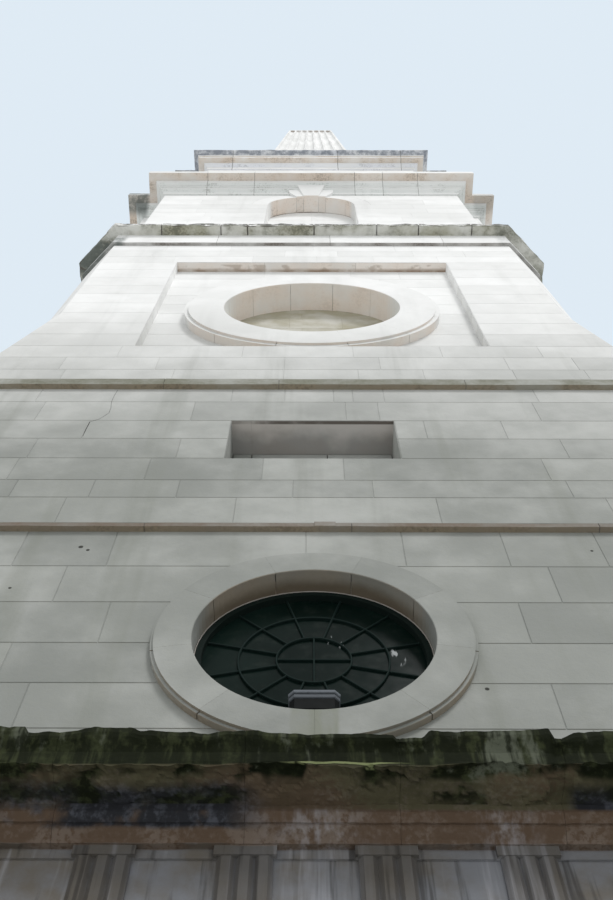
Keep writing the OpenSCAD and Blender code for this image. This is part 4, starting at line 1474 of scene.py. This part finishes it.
# %% Mix the frieze and the mouldings over it
def frieze_colour(stone, drip):
    """Cold grey metopes, browner triglyphs with painted shade on the sides of their grooves, and streaks of grime and
    lime.
    """
    metope = (stone.deep * -1 - frieze_front).rise(0.011, 0.003)
    clean = (stone.blotch + stone.cloud * 0.6).rise(0.55, 0.95) * (metope * 0.6 + 0.4)
    # Painted shade on faces that look sideways, as the sides of the triglyphs' grooves do.
    groove_shade = stone.facing("X").size().rise(0.3, 0.6) * (1 - stone.up.size().rise(0.1, 0.3))
    return stone.coats(
        stone.mix(clean, frieze_brown, frieze_grey), (drip.rise(0.45, 0.32) * 0.7, grime),
        (drip.rise(0.58, 0.72) * 0.35, lime), ((1 - metope) * 0.36, grime_brown), (groove_shade * 0.35, grime))


def bed_colour(stone, drip):
    pale = stone.mix((stone.blotch + drip * 0.6).rise(0.55, 0.95), moulding_brown, moulding_pale)
    return stone.mix((stone.fine * stone.blotch).rise(0.2, 0.32) * 0.6, moulding_brown, pale)


print("frieze and mouldings can be mixed")

# %% Mix the soffit and the crown of the ledge
def soffit_colour(stone, reach, sooty, dusty):
    cloud, blotch, fine = stone.cloud, stone.blotch, stone.fine
    return stone.coats(
        stone.mix((cloud + fine * 0.3).rise(0.55, 0.7), umber, olive),
        ((fine + blotch).rise(0.95, 1.3) * 0.4, moulding_pale),
        ((blotch + fine * 0.3).rise(0.6, 0.35) * 0.4, soffit_moss),
        (stone.ragged(reach, 0.05).rise(0.11, 0.15) * 0.5, soffit_moss), (sooty * reach.rise(0.12, 0.08), dusty))


def crown_colour(stone, drip, rise):
    """Moss with grey runs, more of them on the worn right part, and dark runs over all."""
    worn_right = stone.ragged(stone.across, 0.06).near(0.36, 0.15) * 0.2
    low_lip = rise.rise(0.115, 0.08) * -0.05
    dark_run = stone.noise(20, 4, (2.4, 2.4, 0.22)) + stone.cloud * 0.35 - worn_right * 0.6
    return stone.coats(
        stone.mix((stone.blotch + stone.fine * 0.4).rise(0.5, 0.85), moss_dark, moss_green),
        ((drip + worn_right + low_lip + stone.fine * 0.1).rise(0.6, 0.76) * 0.75, crown_grey),
        (dark_run.rise(0.56, 0.72) * 0.9, moss_dark))


print("soffit and crown can be mixed")

# %% Mix the doorcase's stone
def doorcase_stone(name):
    """From the frieze upwards, each part's colour is laid over the last above a height."""
    stone = StoneFinish(name, cloud=(2.6, 5), blotch=(10, 6), fine=(90, 6))
    cloud, blotch, fine, across = stone.cloud, stone.blotch, stone.fine, stone.across
    drip = stone.noise(13, 4, (2.6, 2.6, 0.14))
    rise = stone.ragged(stone.height - ledge_foot, 0.012)
    reach = stone.deep * -1 - frieze_front + (cloud - 0.5) * 0.06
    thin = stone.noise(26, 3, (2.4, 2.4, 0.16)).rise(0.36, 0.74)
    running = across.near(0.0, 0.14).most(across.near(0.36, 0.08)) * thin * drip.rise(0.35, 0.5)
    left, right = stone.ragged(across, 0.12).rise(-0.04, -0.17), stone.ragged(across, 0.05).rise(0.47, 0.5)
    sooty = (left * (cloud * 0.6 + blotch * 0.6).rise(0.42, 0.6)).most(right)
    dusty = stone.mix((drip + fine * 0.5).rise(0.7, 0.95), soot, soot_pale)
    moss_line = (reach + fine * 0.02).rise(0.155, 0.175)
    lip = rise.near(0.072, 0.005) * reach.rise(0.13, 0.145) * across.near(0.03, 0.24)
    colour = stone.coats(
        frieze_colour(stone, drip), (rise.rise(-0.004, 0.002), bed_colour(stone, drip)),
        (left * rise.rise(0.018, 0.026) * (cloud + blotch).rise(0.8, 1.0), dusty), (running * 0.4, lime),
        (rise.rise(0.046, 0.056), soffit_colour(stone, reach, sooty, dusty)),
        (rise.rise(0.064, 0.07).most(moss_line * rise.rise(0.03, 0.05)), crown_colour(stone, drip, rise)),
        ((lip * 1.4 + blotch * 0.6).rise(0.7, 1.2) * 0.7, lichen_lime), (stone.up.rise(0.3, 0.8), moss_green))
    relief = fine * 0.5 + blotch * 1.5
    return stone.surface(
        gloss=0.1, base_color=colour, roughness=fine * 0.12 + 0.82, normal=stone.bump(relief, 0.003, 0.7))


doorcase = doorcase_stone("doorcase_stone")
print("doorcase finish ready")

# %% [markdown]
# ## Glass, metal and timber
#
# The glass is old and dark, with a room without lights behind it, so it is painted dark rather than
# clear. It is smooth, a little uneven, and has white droppings in two places. The bars are nearly as dark.

# %% Mix the other finishes
def dark_glass(name):
    finish = Finish(name)
    pane = finish.noise(3.5, 2)
    dust = finish.noise(26, 6)
    across, height = finish.axis("X"), finish.axis("Z")
    trail = finish.noise(26, 3, (1.6, 1, 0.45)).rise(0.57, 0.62)
    drops = (across.near(0.062, 0.035) * height.near(window_centre + 0.075, 0.07)).most(
        across.near(0.235, 0.03) * height.near(window_centre + 0.05, 0.10))
    colour = finish.coats(
        finish.mix(pane.rise(0.35, 0.7), (0.003, 0.008, 0.0065), (0.006, 0.014, 0.0115)),
        (dust.rise(0.5, 0.8) * 0.2, (0.04, 0.05, 0.042)), ((drops * 1.6).rise(0.2, 0.6) * trail, (0.34, 0.36, 0.36)))
    return finish.surface(
        gloss=0.05, base_color=colour, roughness=dust * 0.2 + 0.12, normal=finish.bump(pane, 0.004, 0.25))


def painted(name, colour, worn_and_shade_colour, roughness, toned=False, gloss=0.5):
    """Where a face's tone is 0, a paint mixed by tone takes its second colour; the floodlight uses this for painted
    shade.
    """
    finish = Finish(name)
    wear = finish.noise(40, 5)
    mixed = finish.mix(wear.rise(0.55, 0.8) * 0.6, colour, worn_and_shade_colour)
    if toned:
        mixed = finish.mix(finish.tone(), worn_and_shade_colour, mixed)
    return finish.surface(
        gloss=gloss, base_color=mixed, roughness=wear * 0.2 + roughness, normal=finish.bump(wear, 0.0006, 0.4))


def timber(name, pale, dark, stretch):
    finish = Finish(name)
    grain = finish.noise(14, 6, stretch)
    colour = finish.mix(grain.rise(0.35, 0.7), dark, pale)
    colour = finish.mix(finish.noise(3, 3).rise(0.6, 0.8) * 0.4, colour, dark)
    return finish.surface(base_color=colour, roughness=grain * 0.25 + 0.4, normal=finish.bump(grain, 0.001, 0.5))


glass = dark_glass("dark_glass")
bar_paint = painted("bar_paint", (0.009, 0.018, 0.016), (0.013, 0.022, 0.02), 0.6, gloss=0.06)
frame_paint = painted("frame_paint", (0.008, 0.014, 0.012), (0.016, 0.023, 0.02), 0.6, gloss=0.06)
sealant = painted("pale_sealant", (0.36, 0.33, 0.30), (0.16, 0.14, 0.12), 0.7)
old_dirt = painted("old_dirt", (0.035, 0.035, 0.03), (0.09, 0.085, 0.075), 0.9)
# The floodlight's second colour is nearly black: painted shade where a layer's tone is 0, and its wear.
lamp_coat = painted("lamp_coat", (0.15, 0.165, 0.185), (0.004, 0.005, 0.005), 0.5, toned=True, gloss=0.06)
door_paint = timber("door_paint", (0.035, 0.05, 0.04), (0.012, 0.02, 0.015), (6, 6, 0.4))
floor_boards = timber("floor_boards", (0.30, 0.20, 0.12), (0.15, 0.09, 0.05), (0.4, 6, 6))
print("other finishes:", 8)

# %% [markdown]
# ## Build the pieces and dress the solids
#
# The collected stones become objects, one to a stage, and the solids that stay get their finishes.
# The wall solids show in the joints and in the reveals, so they take a plain limestone without blocks.
# The solids of the strings, the coping and the cornices only show deep in open joints, so they are painted dark brown
# as the shade in those joints.

# %% Build the pieces
lower_stones.build("lower_ashlar", ashlar, "limestone")
recess_stones.build("recess_ashlar", ashlar, "limestone")
upper_stones.build("upper_ashlar", ashlar, "limestone")
lining_stones.build("recess_linings", lining, "limestone")
window_ring_stones.build("window_ring_stones", ring_stone, "trim_stone", ["window_rings"])
dial_ring_stones.build("dial_ring_stones", dial_stone, "trim_stone", ["round_surrounds"])
arch_stones.build("niche_arch_stones", arch_stone, "limestone")
string_stones.build("string_stones", string_finish, "trim_stone")
coping_stones.build("coping_stones", coping_finish, "trim_stone")
cornice_stones.build("cornice_stones", cornice, "cornice_stone")
keys.build("keystone_wedges", key_stone, "trim_stone", ["keystones"])
spire_courses.build("spire_courses", spire_finish, "spire_stone", ["spire_shaft", "spire_cap"])
ledge_stones.build("door_ledge_stones", doorcase, "sooty_stone", ["door_cornice"])
plinth_stones.build("plinth_stones", plinth_finish, "base_stone")
bars.build("glazing_bars", bar_paint, "window_metal")
beads.build("frame_beads", sealant, "window_metal")
scars.build("wall_scars", old_dirt, "limestone")
lamp.build("floodlight_box", lamp_coat, "lamp_metal", ["floodlight"])

# %% Dress the solids that stay
dressing = {
    "limestone": wall_core, "trim_stone": trim, "cornice_stone": cornice, "spire_stone": spire_finish,
    "sooty_stone": doorcase, "base_stone": plinth_finish, "floor_timber": floor_boards,
    "door_timber": door_paint, "window_metal": frame_paint, "window_glass": glass, "lamp_metal": lamp_coat}
# These solids show only in open joints and take the painted shade of the joints.
special = dict.fromkeys(("lower_string", "upper_string", "coping", "niche_cornice", "top_cornice"), joint_shade_core)
for part in frame["record"]["subparts"]:
    node = nodes[part["node"]]
    finish = special.get(part["node"], dressing[part["material_slot"]])
    node.data.materials.clear()
    node.data.materials.append(finish)
